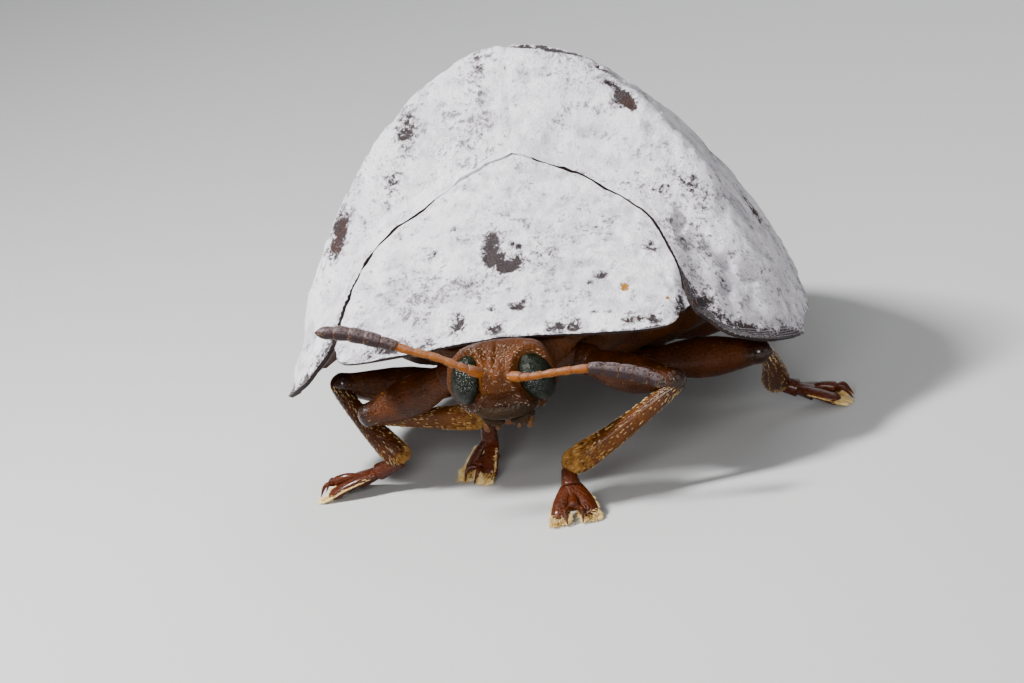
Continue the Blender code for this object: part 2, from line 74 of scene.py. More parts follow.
# %% [markdown]
# Most pieces are grids of points: rows along the piece, columns across or around it. The
# faces of a grid follow from its counts alone, so they come from index arithmetic on whole
# arrays. A ring grid joins its last column to its first, and its two ends are closed by caps.

# %% Faces of a grid, and a piece from points
def grid_quads(rows, cols, ring=False):
    """Four corners of each cell: (r, c), (r, c+1), (r+1, c+1), (r+1, c)."""
    r = np.arange(rows - 1)[:, None]
    c = np.arange(cols if ring else cols - 1)[None, :]
    beside = (c + 1) % cols
    corners = [r * cols + c, r * cols + beside, (r + 1) * cols + beside, (r + 1) * cols + c]
    return np.stack(corners, -1).reshape(-1, 4)


def add_piece(name, points, faces, finishes, slot, values=None, which=None, sharp=50.0):
    """A mesh object at the origin that rides on the body, with its finishes and attributes."""
    mesh = bpy.data.meshes.new(name)
    mesh.from_pydata(to_metres(points).tolist(), [], [tuple(face) for face in faces])
    for finish in finishes:
        mesh.materials.append(finish)
    for key, numbers in (values or {}).items():
        layer = mesh.attributes.new(key, "FLOAT", "POINT")
        layer.data.foreach_set("value", np.asarray(numbers, np.float32).ravel())
    if which is not None:
        mesh.polygons.foreach_set("material_index", np.asarray(which, np.int32))
    mesh.shade_smooth()
    mesh.set_sharp_from_angle(angle=np.radians(sharp))
    piece = bpy.data.objects.new(name, mesh)
    bpy.context.scene.collection.objects.link(piece)
    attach(piece, "root")
    return piece


# %% [markdown]
# The powder is never quite smooth, and a plain formula would look like porcelain. A lattice
# noise gives every corner of a cubic grid a fixed number made from its indices, and blends
# the eight numbers around a point. Several sizes added up give lumps, grains and wrinkles.

# %% Noise that is the same on every run
def corner_number(i, j, k, seed):
    """A fixed number from 0 to 1 for a lattice corner, mixed from its indices and a seed."""
    mixed = (i * 73856093) ^ (j * 19349663) ^ (k * 83492791) ^ (seed * 6542989)
    mixed = ((mixed ^ (mixed >> 13)) * 60493) & 0x7FFFFFFF
    mixed = ((mixed ^ (mixed >> 15)) * 19990303) & 0x7FFFFFFF
    return ((mixed >> 7) & 0xFFFF) / 65535.0


def noise(points, cell, seed=0):
    """Corner numbers of the lattice of the given cell, blended smoothly, from -1 to 1."""
    where = np.asarray(points, float) / cell
    low = np.floor(where).astype(np.int64)
    part = smooth_step(where - low)
    total = 0.0
    for a in (0, 1):
        for b in (0, 1):
            for c in (0, 1):
                share = np.abs(1 - a - part[..., 0]) * np.abs(1 - b - part[..., 1])
                share = share * np.abs(1 - c - part[..., 2])
                total = total + share * corner_number(low[..., 0] + a, low[..., 1] + b,
                                                      low[..., 2] + c, seed)
    return 2.0 * total - 1.0


def layered(points, cell, layers=3, seed=0):
    """Noise at the cell's size plus half as much at half the size, and so on."""
    return sum(noise(points, cell / 2 ** n, seed + n) / 2 ** n for n in range(layers))


# %% [markdown]
# A finish in Blender is a small network of nodes. Written out link by link it is hard to
# read, so a socket is wrapped in a class whose plus, minus and times add Math nodes. One
# method adds any other node from its type, its settings and its inputs.

# %% A socket that can be added and multiplied
class Value:
    """One output socket of a finish. Arithmetic on it adds Math nodes."""

    def __init__(self, finish, socket):
        self.finish = finish
        self.socket = socket

    def _math(self, operation, first, second):
        return self.finish.add("Math", {"operation": operation}, {0: first, 1: second})

    def __add__(self, other):
        return self._math("ADD", self, other)

    def __sub__(self, other):
        return self._math("SUBTRACT", self, other)

    def __rsub__(self, other):
        return self._math("SUBTRACT", other, self)

    def __mul__(self, other):
        return self._math("MULTIPLY", self, other)

    def larger(self, other):
        """The larger of the two."""
        return self._math("MAXIMUM", self, other)

    def sine(self):
        """The sine of the socket's number, in radians."""
        return self._math("SINE", self, 0.0)

    __radd__ = __add__
    __rmul__ = __mul__


# %% [markdown]
# The finish itself holds one Principled shader. Its patterns sit on the object's own
# coordinates, turned back into millimetres, so that a grain of powder has its real size.

# %% A finish made of nodes
class Finish:
    """A material with one Principled shader, and helpers that add nodes to it."""

    def __init__(self, name, fixed=None):
        self.material = bpy.data.materials.new(name)
        self.material.use_nodes = True
        self.tree = self.material.node_tree
        self.shader = self.tree.nodes["Principled BSDF"]
        for key, value in (fixed or {}).items():
            self.shader.inputs[key].default_value = value
        coordinates = self.add("TexCoord", output="Object")
        self.place = self.add("VectorMath", {"operation": "SCALE"},
                              {0: coordinates, "Scale": 1.0 / MM})

    def add(self, kind, settings=None, inputs=None, output=0):
        """A node of one kind with its settings and inputs, given back as one output."""
        node = self.tree.nodes.new("ShaderNode" + kind)
        for key, value in (settings or {}).items():
            setattr(node, key, value)
        for key, value in (inputs or {}).items():
            self.feed(node.inputs[key], value)
        return Value(self, node.outputs[output])

    def feed(self, socket, value):
        """A link from another node's output, or a plain number or colour."""
        if isinstance(value, Value):
            self.tree.links.new(value.socket, socket)
        else:
            socket.default_value = value

    def read(self, attribute):
        """The number that the mesh keeps under a name, 0 where it has none."""
        return self.add("Attribute", {"attribute_name": attribute}, output="Fac")

    def grain(self, cell, detail=2.0, rough=0.5):
        """Noise of about the given cell in millimetres, from 0 to 1."""
        return self.add("TexNoise", {}, {"Vector": self.place, "Scale": 1.0 / cell,
                                         "Detail": detail, "Roughness": rough})

    def between(self, value, low, high):
        """A soft mask: 0 where the value is at low, 1 where it is at high."""
        return self.add("MapRange", {"interpolation_type": "SMOOTHSTEP"},
                        {"Value": value, "From Min": low, "From Max": high})

    def mix(self, mask, under, over):
        """The colour under where the mask is 0, the colour over where it is 1."""
        colours = {6: under, 7: over}
        inputs = {0: mask}
        for key, colour in colours.items():
            inputs[key] = colour if isinstance(colour, Value) else (*colour, 1.0)
        return self.add("Mix", {"data_type": "RGBA"}, inputs, output=2)

    def blend(self, mask, under, over):
        """The number under where the mask is 0, the number over where it is 1."""
        return under + mask * (over - under)

    def bump(self, height, depth, below=None):
        """A relief of the given depth in millimetres where the height goes from 0 to 1."""
        inputs = {"Height": height, "Distance": depth * MM, "Strength": 1.0}
        if below is not None:
            inputs["Normal"] = below
        return self.add("Bump", {}, inputs)

    def wear(self, links):
        """Feeds the shader's own sockets and gives back the finished material."""
        for key, value in links.items():
            self.feed(self.shader.inputs[key], value)
        return self.material


print("helpers ready")

# %% [markdown]
# The camera stands where the photograph was taken: low, in front, a little to the beetle's
# left, and rolled by eleven degrees. A long lens is used because the picture is a close-up
# from far off for the animal's size, so that its near and far ends keep their proportions.

# %% Camera
CAMERA_TURN, CAMERA_RISE, CAMERA_ROLL = np.radians([15.0, 16.0, 11.0])
CAMERA_TARGET = np.array([-0.73, -4.0, 3.77])
CAMERA_DISTANCE = 170.0
PIXELS_PER_MM = 34.0
SENSOR = 36.0
PICTURE_WIDTH = 1024


def put(thing, right, top, back, at):
    """Stands a camera or light at a point in metres, with its own three directions."""
    bpy.context.scene.collection.objects.link(thing)
    thing.matrix_world = Matrix(np.vstack([np.column_stack([right, top, back, at]),
                                           [0.0, 0.0, 0.0, 1.0]]).tolist())


back = np.array([np.sin(CAMERA_TURN) * np.cos(CAMERA_RISE),
                 -np.cos(CAMERA_TURN) * np.cos(CAMERA_RISE), np.sin(CAMERA_RISE)])
level = np.array([np.cos(CAMERA_TURN), np.sin(CAMERA_TURN), 0.0])
upright = np.cross(back, level)
right = np.cos(CAMERA_ROLL) * level - np.sin(CAMERA_ROLL) * upright
top = np.sin(CAMERA_ROLL) * level + np.cos(CAMERA_ROLL) * upright
stand = to_metres(CAMERA_TARGET + back * CAMERA_DISTANCE)[0]
lens = bpy.data.cameras.new("camera")
lens.sensor_width = SENSOR
lens.lens = PIXELS_PER_MM * CAMERA_DISTANCE * SENSOR / PICTURE_WIDTH
lens.clip_start = 0.001
camera = bpy.data.objects.new("camera", lens)
put(camera, right, top, back, stand)
bpy.context.scene.camera = camera
print("camera", round(lens.lens, 1), "mm lens,", round(stand[2] / MM, 1), "mm above the floor")

# %% [markdown]
# A plain pale floor carries the animal. The light is a studio's: a small strong panel high on
# one side, broad weak ones in front and on the other side, one behind to part the shell from
# the floor, and a low even light from all around that keeps the shade under the shell open.

# %% Floor and lights
HALF = 0.6
floor_mesh = bpy.data.meshes.new("floor")
floor_mesh.from_pydata([(-HALF, -HALF, 0), (HALF, -HALF, 0), (HALF, HALF, 0), (-HALF, HALF, 0)],
                       [], [(0, 1, 2, 3)])
floor = bpy.data.objects.new("floor", floor_mesh)
bpy.context.scene.collection.objects.link(floor)
paper = Finish("floor_paper", {"Roughness": 0.9})
paper.wear({"Base Color": (0.44, 0.44, 0.435, 1.0)})
floor_mesh.materials.append(paper.material)


def add_panel(name, at, aim, size, power, colour=(1.0, 1.0, 1.0)):
    """A square light at one point that faces another, both in millimetres."""
    light = bpy.data.lights.new(name, "AREA")
    light.size = size * MM
    light.energy = power
    light.color = colour
    facing = unit(np.asarray(at, float) - aim)
    across = unit(np.cross((0.0, 0.0, 1.0), facing))
    put(bpy.data.objects.new(name, light), across, np.cross(facing, across), facing,
        to_metres(at)[0])


BODY_MIDDLE = np.array([0.0, -3.0, 5.0])
add_panel("key_panel", (-44.0, -26.0, 68.0), BODY_MIDDLE, 14.0, 0.20)
add_panel("front_panel", (10.0, -85.0, 34.0), BODY_MIDDLE, 30.0, 0.055)
add_panel("side_panel", (70.0, -35.0, 30.0), BODY_MIDDLE, 50.0, 0.014)
add_panel("back_panel", (10.0, 70.0, 60.0), BODY_MIDDLE, 60.0, 0.03, (0.95, 0.97, 1.0))
surround = bpy.data.worlds.new("surround")
bpy.context.scene.world = surround
surround.use_nodes = True
glow = surround.node_tree.nodes["Background"].inputs
glow["Color"].default_value = (0.96, 0.96, 1.0, 1.0)
glow["Strength"].default_value = 0.21
print("floor, surround and", len(bpy.data.lights), "panels")

# %% [markdown]
# ## The shell
# Shield and wing cases are patches of one dome, so one formula gives its height over the
# plan. The midline climbs along the shield, turns up steeply at the wing cases, rounds off at
# the hump and runs down to the tail. Across the body the dome falls to the rim in a curve that
# is full near the middle and steep at the side, as on a helmet.

# %% The dome's formula
SEAM_Y, SEAM_Z = -2.65, 9.1
FRONT_Y, FRONT_Z = -8.0, 5.13
PEAK_Y, PEAK_Z = -0.5, 11.45
APEX_Y = 10.4
RIM_Z = 2.72
WIDEST_Y, HALF_WIDTH = -3.2, 7.75
OUTLINE_POWER = (1.62, 0.53)
SECTION_POWER = 0.76
FACE_SLOPE, PEAK_SHARP, PEAK_ROUND, HIND_BULGE = 2.1, 1.9, 0.35, 3.0
RIDGE_SWEEP = 0.045


def half_width(y):
    """Full width as far as the widest place, then (1 - reach^a)^b of it to the apex."""
    reach = np.clip((y - WIDEST_Y) / (APEX_Y - WIDEST_Y), 0.0, 1.0)
    return HALF_WIDTH * (1.0 - reach ** OUTLINE_POWER[0]) ** OUTLINE_POWER[1]


def midline(y):
    """The lower of the steep face and the hind slope, rounded where they meet, and never
    below the line of the shield in front of them."""
    front = SEAM_Z + (y - SEAM_Y) * (SEAM_Z - FRONT_Z) / (SEAM_Y - FRONT_Y)
    reach = np.clip((y - PEAK_Y) / (APEX_Y - PEAK_Y), 0.0, 1.0)
    hind = PEAK_Z + PEAK_ROUND * (1.0 - reach) + HIND_BULGE * reach * (1.0 - reach)
    hind = hind - (y - PEAK_Y) * (PEAK_Z - RIM_Z) / (APEX_Y - PEAK_Y)
    face = SEAM_Z + (y - SEAM_Y) * FACE_SLOPE
    rounded = -np.log(np.exp(-PEAK_SHARP * hind) + np.exp(-PEAK_SHARP * face)) / PEAK_SHARP
    return np.where(y < PEAK_Y, np.maximum(rounded, front), rounded)


def dome(x, y):
    """Rim plus (midline - rim) times (1 - out^2)^power, with out the share of the half
    width, and with the ridge moved forward by an amount that grows as x squared."""
    moved = RIDGE_SWEEP * x * x * (1.0 - smooth_step((y + 2.0) / 3.0))
    out = np.clip(np.abs(x) / np.maximum(half_width(y), 0.05), 0.0, 1.0)
    return RIM_Z + (midline(y + moved) - RIM_Z) * np.maximum(1.0 - out * out, 0.0) ** SECTION_POWER


print("dome height at the peak", round(float(dome(0.0, PEAK_Y)), 2), "mm")

# %% [markdown]
# The edges of the three plates are curves through a few measured points: the base seam
# between shield and cases, the free edge of a case round the shoulder, and the front margin
# of the shield. A spline through them is resampled evenly, so a grid can hang on it.

# %% Edge lines
SEAM = [(0.0, SEAM_Y, SEAM_Z), (1.45, -3.05, 8.65), (2.6, -3.45, 8.05), (3.7, -4.1, 7.5),
        (4.2, -4.45, 7.1), (4.65, -5.05, 6.6), (5.05, -5.75, 5.95), (5.43, -6.6, 5.0)]
SHOULDER = [(5.9, -6.68, 4.5), (6.35, -6.6, 4.05), (6.85, -6.15, 3.68), (7.28, -5.5, 3.36),
            (7.58, -4.7, 3.1), (7.71, -3.95, 2.88), (HALF_WIDTH, WIDEST_Y, RIM_Z)]
SHIELD_FRONT = [(5.1, -7.0, 4.97), (5.1, -7.32, 4.86), (4.88, -7.76, 4.83), (4.3, -8.13, 4.9),
                (3.2, -8.29, 4.99), (1.6, -8.14, 5.07), (0.0, FRONT_Y, FRONT_Z)]
SHIELD_CORNER = (5.24, -6.88, 4.97)
TAIL_END_X = 2.6


def spread(points, count):
    """Points spaced evenly along a spline through the given ones.

    Each span is a cubic that leaves and enters with half the step between its neighbours.
    """
    given = np.asarray(points, float)
    given = np.vstack([2 * given[0] - given[1], given, 2 * given[-1] - given[-2]])
    t = np.linspace(0.0, 1.0, 24, endpoint=False)[None, :, None]
    a, b, c, d = (given[k:len(given) - 3 + k][:, None] for k in range(4))
    line = 0.5 * (2 * b + (c - a) * t + (2 * a - 5 * b + 4 * c - d) * t ** 2
                  + (3 * b - a - 3 * c + d) * t ** 3)
    line = np.vstack([line.reshape(-1, given.shape[1]), given[-2:-1]])
    length = np.r_[0.0, np.cumsum(np.linalg.norm(np.diff(line, axis=0), axis=1))]
    wanted = np.linspace(0.0, length[-1], count)
    return np.stack([np.interp(wanted, length, line[:, k]) for k in range(line.shape[1])], 1)


def rim_lines(count_side, count_tail):
    """Plan of the rim, y solved from the half width's formula for even steps of x: from the
    widest place back, and the short stretch round the tail."""
    x = np.linspace(HALF_WIDTH, 0.0, 400)
    reach = 1.0 - (x / HALF_WIDTH) ** (1.0 / OUTLINE_POWER[1])
    line = np.stack([x, WIDEST_Y + (APEX_Y - WIDEST_Y) * reach ** (1.0 / OUTLINE_POWER[0])], 1)
    side = line[x >= TAIL_END_X][::12]
    tail = line[x <= TAIL_END_X][::-6]
    return spread(side, count_side), spread(tail, count_tail)


seam_steps = np.diff(spread(SEAM, 60), axis=0)
print("half of the seam:", round(float(np.linalg.norm(seam_steps, axis=1).sum()), 2), "mm")

# %% [markdown]
# A wing case has four sides, so it is filled as a Coons patch: two rulings, one between each
# pair of opposite edges, added up, less the surface that the four corners give alone. The
# shield is simpler, a ruling from its front margin to the seam, mirrored about the midline.
# Both take their heights from the dome, pulled to their own edges over the first rows.

# %% Plates as grids
SUTURE_HALF_GAP = 0.003


def case_grid(rows, cols):
    """Left wing case: rows from the front edge to the tail, columns from the suture out.

    The plan is (1 - t) front + t tail + (1 - s) suture + s side - corners, with t down the
    rows and s across them. The height is the dome's, pulled to the front edge near it.
    """
    front = spread(SEAM + SHOULDER, cols)
    side, tail = rim_lines(rows, cols)
    t = np.linspace(0.0, 1.0, rows)[:, None, None]
    s = np.linspace(0.0, 1.0, cols)[None, :, None]
    suture = np.zeros((rows, 1, 2))
    suture[:, 0, 1] = SEAM_Y + (APEX_Y - SEAM_Y) * t[:, 0, 0]
    fore = front[None, :, :2]
    corners = ((1 - s) * (1 - t) * fore[:, :1] + s * (1 - t) * fore[:, -1:]
               + (1 - s) * t * tail[None, :1] + s * t * tail[None, -1:])
    plan = (1 - t) * fore + t * tail[None] + (1 - s) * suture + s * side[:, None] - corners
    height = dome(plan[..., 0], plan[..., 1])
    miss = front[:, 2] - dome(front[:, 0], front[:, 1])
    height = height + miss * (1.0 - smooth_step(4.0 * t[..., 0]))
    plan[..., 0] += SUTURE_HALF_GAP * (1.0 - s[..., 0]) ** 8
    return np.concatenate([plan, height[..., None]], -1)


def shield_grid(rows, cols, crack):
    """Shield: rows from the front margin to the seam, columns from right to left.

    Each half is (1 - t) margin + t seam, drawn back from the cases by the crack. The height
    is the dome's plus what it misses at both lines, times powers of 1 - t and of t.
    """
    half = cols // 2
    hind = spread(SEAM, half + 1)
    miss_hind = hind[:, 2] - dome(hind[:, 0], hind[:, 1])
    fore = spread(SHIELD_FRONT[::-1], half + 1)
    fore[-1] = SHIELD_CORNER
    t = np.linspace(0.0, 1.0, rows)[:, None, None]
    halves = []
    for side in (-1.0, 1.0):
        edge = hind.copy()
        edge[:, 1] -= crack(side * hind[:, 0])
        edge[:, 0] -= 0.06 * (hind[:, 0] / SEAM[-1][0]) ** 2
        points = fore * (1.0 - t) + edge * t
        miss_fore = fore[:, 2] - dome(fore[:, 0], fore[:, 1])
        share = t[..., 0]
        pull = 2.0 - np.linspace(0.0, 1.0, half + 1) ** 6
        points[..., 2] = (dome(points[..., 0], points[..., 1])
                          + miss_fore * (1 - share) ** pull + miss_hind * share ** pull)
        halves.append(points * (side, 1.0, 1.0))
    return np.concatenate([halves[0][:, :0:-1], halves[1]], axis=1)


# %% [markdown]
# A plate of horn is a closed wall. Its top is the grid lifted by the powder's relief along
# the normals, its underside the same grid sunk by the wall, thinner towards the free margin,
# and a band of faces around the border joins the two. That band is dark horn, painted darker
# still as the shade in the crack between shield and cases, but for the high middle of the seam
# and the suture, where powder covers it.

# %% A closed wall from a grid
POWDERED_ABOVE = 8.2


def grid_normals(grid):
    """Cross product of the steps along rows and columns, turned to look up."""
    along, across = np.gradient(grid, axis=0), np.gradient(grid, axis=1)
    normal = unit(np.cross(across, along))
    return normal if normal[..., 2].mean() > 0 else -normal


def closed_wall(grid, relief, wall):
    """Points and outward faces of the wall, and 0, 1 or 2 for top, underside and rim."""
    rows, cols = grid.shape[:2]
    normal = grid_normals(grid)
    upper = grid + normal * relief[..., None]
    lower = grid - normal * wall[..., None]
    index = np.arange(rows * cols).reshape(rows, cols)
    border = np.concatenate([index[0], index[1:, -1], index[-1, -2::-1], index[-2:0:-1, 0]])
    ahead = np.roll(border, -1)
    under = rows * cols
    quads = grid_quads(rows, cols)
    corner = upper.reshape(-1, 3)[quads[len(quads) // 2]]
    looks_up = np.cross(corner[1] - corner[0], corner[2] - corner[0])[2] > 0
    rim = np.stack([border, border + under, ahead + under, ahead], -1)
    if not looks_up:
        quads = quads[:, ::-1]
        rim = rim[:, ::-1]
    faces = np.concatenate([quads, quads[:, ::-1] + under, rim])
    x, y, z = grid.reshape(-1, 3)[border].T
    powdered = (z > POWDERED_ABOVE) & (x < 0.6) | (np.abs(x) < 0.1) & (y > SEAM_Y)
    finish_of_face = np.concatenate([np.repeat([0, 1], len(quads)), np.where(powdered, 0, 2)])
    points = np.concatenate([upper.reshape(-1, 3), lower.reshape(-1, 3)])
    return points, faces, finish_of_face


def border_distance(grid, edge):
    """Distance in plan and height from every point to the nearest of an edge's points."""
    flat = grid.reshape(-1, 3)
    nearest = np.full(len(flat), 1e9)
    for start in range(0, len(edge), 20):
        gap = np.linalg.norm(flat[:, None] - edge[None, start:start + 20], axis=2)
        nearest = np.minimum(nearest, gap.min(axis=1))
    return nearest.reshape(grid.shape[:2])


# %% [markdown]
# The powder is thin or rubbed off in places: a hooked blotch in the middle of the shield,
# specks around it, spots and ridges on the cases, and a fringe of flecks along the margins.
# Each is an ellipse on the plan with its own strength. The strongest one at a point is kept
# on the mesh as the attribute "bare", and the finish breaks its edge up into flecks.

# %% Where the powder is thin
NO_MARK = -0.6
SHIELD_MARKS = [
    # x, y, half width, half length, strength
    (-0.45, -5.42, 0.25, 0.46, 1.15), (-0.26, -5.75, 0.3, 0.24, 1.1), (0.4, -5.42, 0.1, 0.1, 0.9),
    (0.08, -5.92, 0.44, 0.2, 1.15), (0.42, -5.8, 0.16, 0.2, 0.9), (0.19, -5.31, 0.11, 0.1, 0.8),
    (1.25, -5.75, 0.45, 0.35, 0.45), (1.1, -6.2, 0.5, 0.2, 0.32), (-0.8, -6.35, 0.9, 0.35, 0.36),
    (2.9, -6.43, 0.17, 0.09, 0.85), (2.53, -6.64, 0.10, 0.08, 0.6), (4.28, -5.39, 0.2, 0.16, 0.62),
    (2.7, -4.9, 0.4, 0.14, 0.42), (-0.31, -7.16, 0.14, 0.1, 0.8), (0.5, -7.17, 0.24, 0.1, 1.0),
    (2.87, -7.6, 0.25, 0.05, 0.6), (-0.2, -7.8, 0.3, 0.2, 0.75), (1.75, -7.9, 0.3, 0.22, 0.75),
    (2.2, -7.95, 0.26, 0.24, 0.8), (3.85, -7.86, 0.2, 0.15, 0.7), (4.15, -7.8, 0.2, 0.12, 0.72),
    (4.5, -7.75, 0.22, 0.2, 0.75), (5.22, -7.0, 0.14, 0.5, 0.8),
    (-1.27, -7.5, 0.22, 0.3, 0.85), (-3.3, -8.0, 1.6, 0.24, 0.62), (-2.9, -5.9, 0.7, 0.5, 0.3),
    (-2.6, -6.6, 0.5, 0.35, 0.34), (-2.2, -5.2, 0.16, 0.1, 0.5), (-1.6, -4.6, 0.12, 0.08, 0.5),
]
CASE_MARKS = {
    "left": [
        (5.22, -3.18, 0.42, 0.16, 0.7), (4.4, -3.5, 0.9, 0.3, 0.36), (5.5, -3.6, 0.5, 0.4, 0.36),
        (5.46, -3.93, 0.3, 0.2, 0.4), (5.1, -4.6, 0.6, 0.5, 0.36), (6.1, -4.9, 0.15, 0.15, 0.6),
        (5.7, -6.1, 0.3, 0.5, 0.85), (3.43, -1.96, 0.27, 0.16, 1.35),
        (3.2, -1.72, 0.26, 0.07, 1.0), (3.66, -2.1, 0.2, 0.08, 1.2), (2.75, -1.35, 0.4, 0.1, 0.6),
        (1.6, -1.0, 0.7, 0.2, 1.2), (0.6, -1.0, 0.5, 0.14, 1.0), (2.4, -1.2, 0.4, 0.25, 0.3),
        (2.2, 2.2, 0.5, 0.35, 0.8), (4.9, 1.2, 0.35, 0.5, 0.7), (1.3, 5.4, 0.35, 0.4, 0.7),
        (3.4, 5.2, 0.3, 0.35, 0.6), (6.4, -0.6, 0.3, 0.4, 0.6),
    ],
    "right": [
        (3.2, -2.05, 0.28, 0.3, 0.8), (3.7, -2.8, 0.3, 0.3, 0.5), (5.58, -3.15, 0.34, 0.4, 1.05),
        (4.9, -2.2, 0.3, 0.2, 0.45), (0.8, -1.25, 0.3, 0.5, 0.45), (1.3, -2.4, 0.5, 0.4, 0.3),
        (2.6, 2.6, 0.45, 0.3, 0.8), (4.6, 0.9, 0.4, 0.4, 0.7), (1.5, 5.8, 0.35, 0.4, 0.6),
        (6.2, -0.4, 0.3, 0.4, 0.6), (5.1, -6.2, 0.2, 0.2, 0.3),
    ],
}


def marks_on(grid, marks):
    """The largest of strength (1.35 - 0.75 far) - 0.35 over the ellipses, where far is 1 on
    an ellipse's own outline."""
    x, y = grid[..., 0], grid[..., 1]
    bare = np.full(grid.shape[:2], NO_MARK)
    for at_x, at_y, half_x, half_y, strength in marks:
        far = np.hypot((x - at_x) / half_x, (y - at_y) / half_y)
        bare = np.maximum(bare, strength * (1.35 - 0.75 * far) - 0.35)
    return bare


print("marks:", len(SHIELD_MARKS), "on the shield,",
      len(CASE_MARKS["left"]) + len(CASE_MARKS["right"]), "on the cases")

# %% [markdown]
# The powder's finish starts from a cool, slightly lilac white. Where "bare" plus two sizes of
# noise passes a threshold the dark horn shows. A greyer tone in the hollows of the relief is
# painted shade, and fine pores cover everything. Powder has no gloss at all, horn has a little.

# %% Powder finish
POWDER_LIGHT = (0.94, 0.895, 0.945)
POWDER_SHADE = (0.645, 0.615, 0.665)
POWDER_CLOUD = (0.40, 0.38, 0.41)
POWDER_HOLLOW_SHADE = (0.38, 0.36, 0.395)
POWDER_VEIL = (0.36, 0.335, 0.36)
PEPPER_GREY = (0.36, 0.34, 0.37)
PEPPER_DARK = (0.12, 0.10, 0.11)
PORE = (0.22, 0.20, 0.21)
HORN_DARK = (0.036, 0.028, 0.029)
HORN_RED = (0.048, 0.023, 0.019)
HORN_DUST = (0.20, 0.175, 0.18)
ORANGE_CRUMB = (0.34, 0.15, 0.03)
SILVER = (0.46, 0.44, 0.48)
LINE_RATE = 78.0


def powder_finish(name, grey_share, red_reach, line_reach):
    """Powder on horn, worked out from the white up.

    The powder has clouds, painted shade in the hollows of the relief, pepper and pores. Then
    follow the thin veil around bare places and the horn in them, redder within red_reach of the
    free edge. Last come the orange crumbs and the silver lines, which run along the edge within
    line_reach of it.
    """
    made = Finish(name, {"Specular IOR Level": 0.12})
    bare, edge, grit = made.read("bare"), made.read("edge"), made.read("grit")
    dust = made.grain(0.055, 3.0, rough=0.7)
    crumb = made.grain(0.15, 5.0, rough=0.75)
    patch = made.grain(0.5, 5.0, rough=0.7)
    cloud = made.grain(1.9, 4.0, rough=0.6)
    worn = made.between(cloud, 0.46, 0.62)
    tone = made.mix(made.between(cloud, 0.40, 0.66) * grey_share, POWDER_LIGHT, POWDER_SHADE)
    tone = made.mix(made.between(patch, 0.50, 0.70) * (0.22 + worn * 0.4), tone, POWDER_CLOUD)
    # Painted shade: a greyer tone where the relief has hollows.
    tone = made.mix(made.read("hollow_shade") * 0.55, tone, POWDER_HOLLOW_SHADE)
    thin = (bare + 0.45).larger(0.0)
    sandy = crumb + (patch - 0.5) * 0.6 + worn * 0.04 + thin * 0.22
    tone = made.mix(made.between(sandy, 0.55, 0.66) * 0.55, tone, PEPPER_GREY)
    tone = made.mix(made.between(sandy, 0.65, 0.70) * 0.8, tone, PEPPER_DARK)
    pores = made.between(dust + (patch - 0.5) * 0.5, 0.64, 0.70)
    tone = made.mix(pores * 0.55, tone, PORE)
    flecks = bare + (crumb - 0.5) * 2.4 + (patch - 0.5) * 1.3 + (dust - 0.5) * 0.9
    tone = made.mix(made.between(flecks, -0.10, 0.40) * 0.55, tone, POWDER_VEIL)
    open_horn = made.between(flecks, 0.24, 0.36)
    near_edge = made.between(red_reach - edge, 0.0, 0.4)
    red = made.between(made.grain(0.8), 0.50, 0.66) * near_edge * 0.7
    dusting = made.between(dust, 0.5, 0.7) * (0.08 + made.between(edge, 0.1, 0.6) * 0.24)
    dusted = made.mix(dusting, made.mix(red, HORN_DARK, HORN_RED), HORN_DUST)
    tone = made.mix(open_horn, tone, dusted)
    speck = made.between(grit + (crumb - 0.5) * 1.6, 0.22, 0.36) * made.between(grit, 0.03, 0.08)
    tone = made.mix(speck, tone, ORANGE_CRUMB)
    lines = made.between((edge * LINE_RATE).sine(), 0.45, 0.9)
    lines = lines * made.between(line_reach - edge, 0.0, 0.06)
    lines = lines * open_horn * made.between(crumb, 0.38, 0.55)
    tone = made.mix(lines * 0.7, tone, SILVER)
    relief = made.bump(patch * (1.0 - open_horn * 0.8), 0.16)
    relief = made.bump(crumb, 0.11, relief)
    relief = made.bump(dust, 0.035, relief)
    return made.wear({"Base Color": tone, "Roughness": made.blend(open_horn, 0.95, 0.5),
                      "Normal": relief})


EVERYWHERE = 20.0
shield_powder = powder_finish("powder_shield", 0.55, 1.1, 0.2)
case_powder = powder_finish("powder_cases", 0.65, EVERYWHERE, 0.5)
print("powder:", len(shield_powder.node_tree.nodes), "nodes")

# %% [markdown]
# Under the powder, and on the whole underside, the beetle is glossy red-brown horn. One
# recipe serves all of these parts: two tones mixed by noise, small pits as on stamped
# leather, and a thin clear coat for the wet shine on knees and feet.

# %% Horn finish
SOLE_CREAM = (0.50, 0.29, 0.08)


def horn_finish(name, dark, light, gloss=0.3, coat=0.35, pit=0.09, depth=0.02):
    """Horn between two tones, rougher where it is lighter.

    Three attributes of the mesh change it where they are set: "shade" darkens, "sole" turns
    it cream and "wet" adds clear coat.
    """
    made = Finish(name, {"Coat Roughness": 0.12, "Specular IOR Level": 0.13})
    broad = made.grain(0.9, 3.0, rough=0.6)
    fine = made.grain(pit, 2.0)
    tone = made.mix(made.between(broad, 0.18, 0.78), dark, light)
    tone = made.mix(made.between(fine, 0.58, 0.72) * 0.45, tone, tuple(0.4 * c for c in dark))
    tone = made.mix(made.read("shade") * 0.85, tone, tuple(0.45 * c for c in dark))
    tone = made.mix(made.read("sole"), tone, SOLE_CREAM)
    relief = made.bump(made.between(fine, 0.3, 0.7), depth)
    return made.wear({"Base Color": tone,
                      "Roughness": made.blend(broad, gloss - 0.08, gloss + 0.15),
                      "Coat Weight": made.blend(fine, coat, 0.3 * coat) + made.read("wet") * 0.35,
                      "Normal": relief})


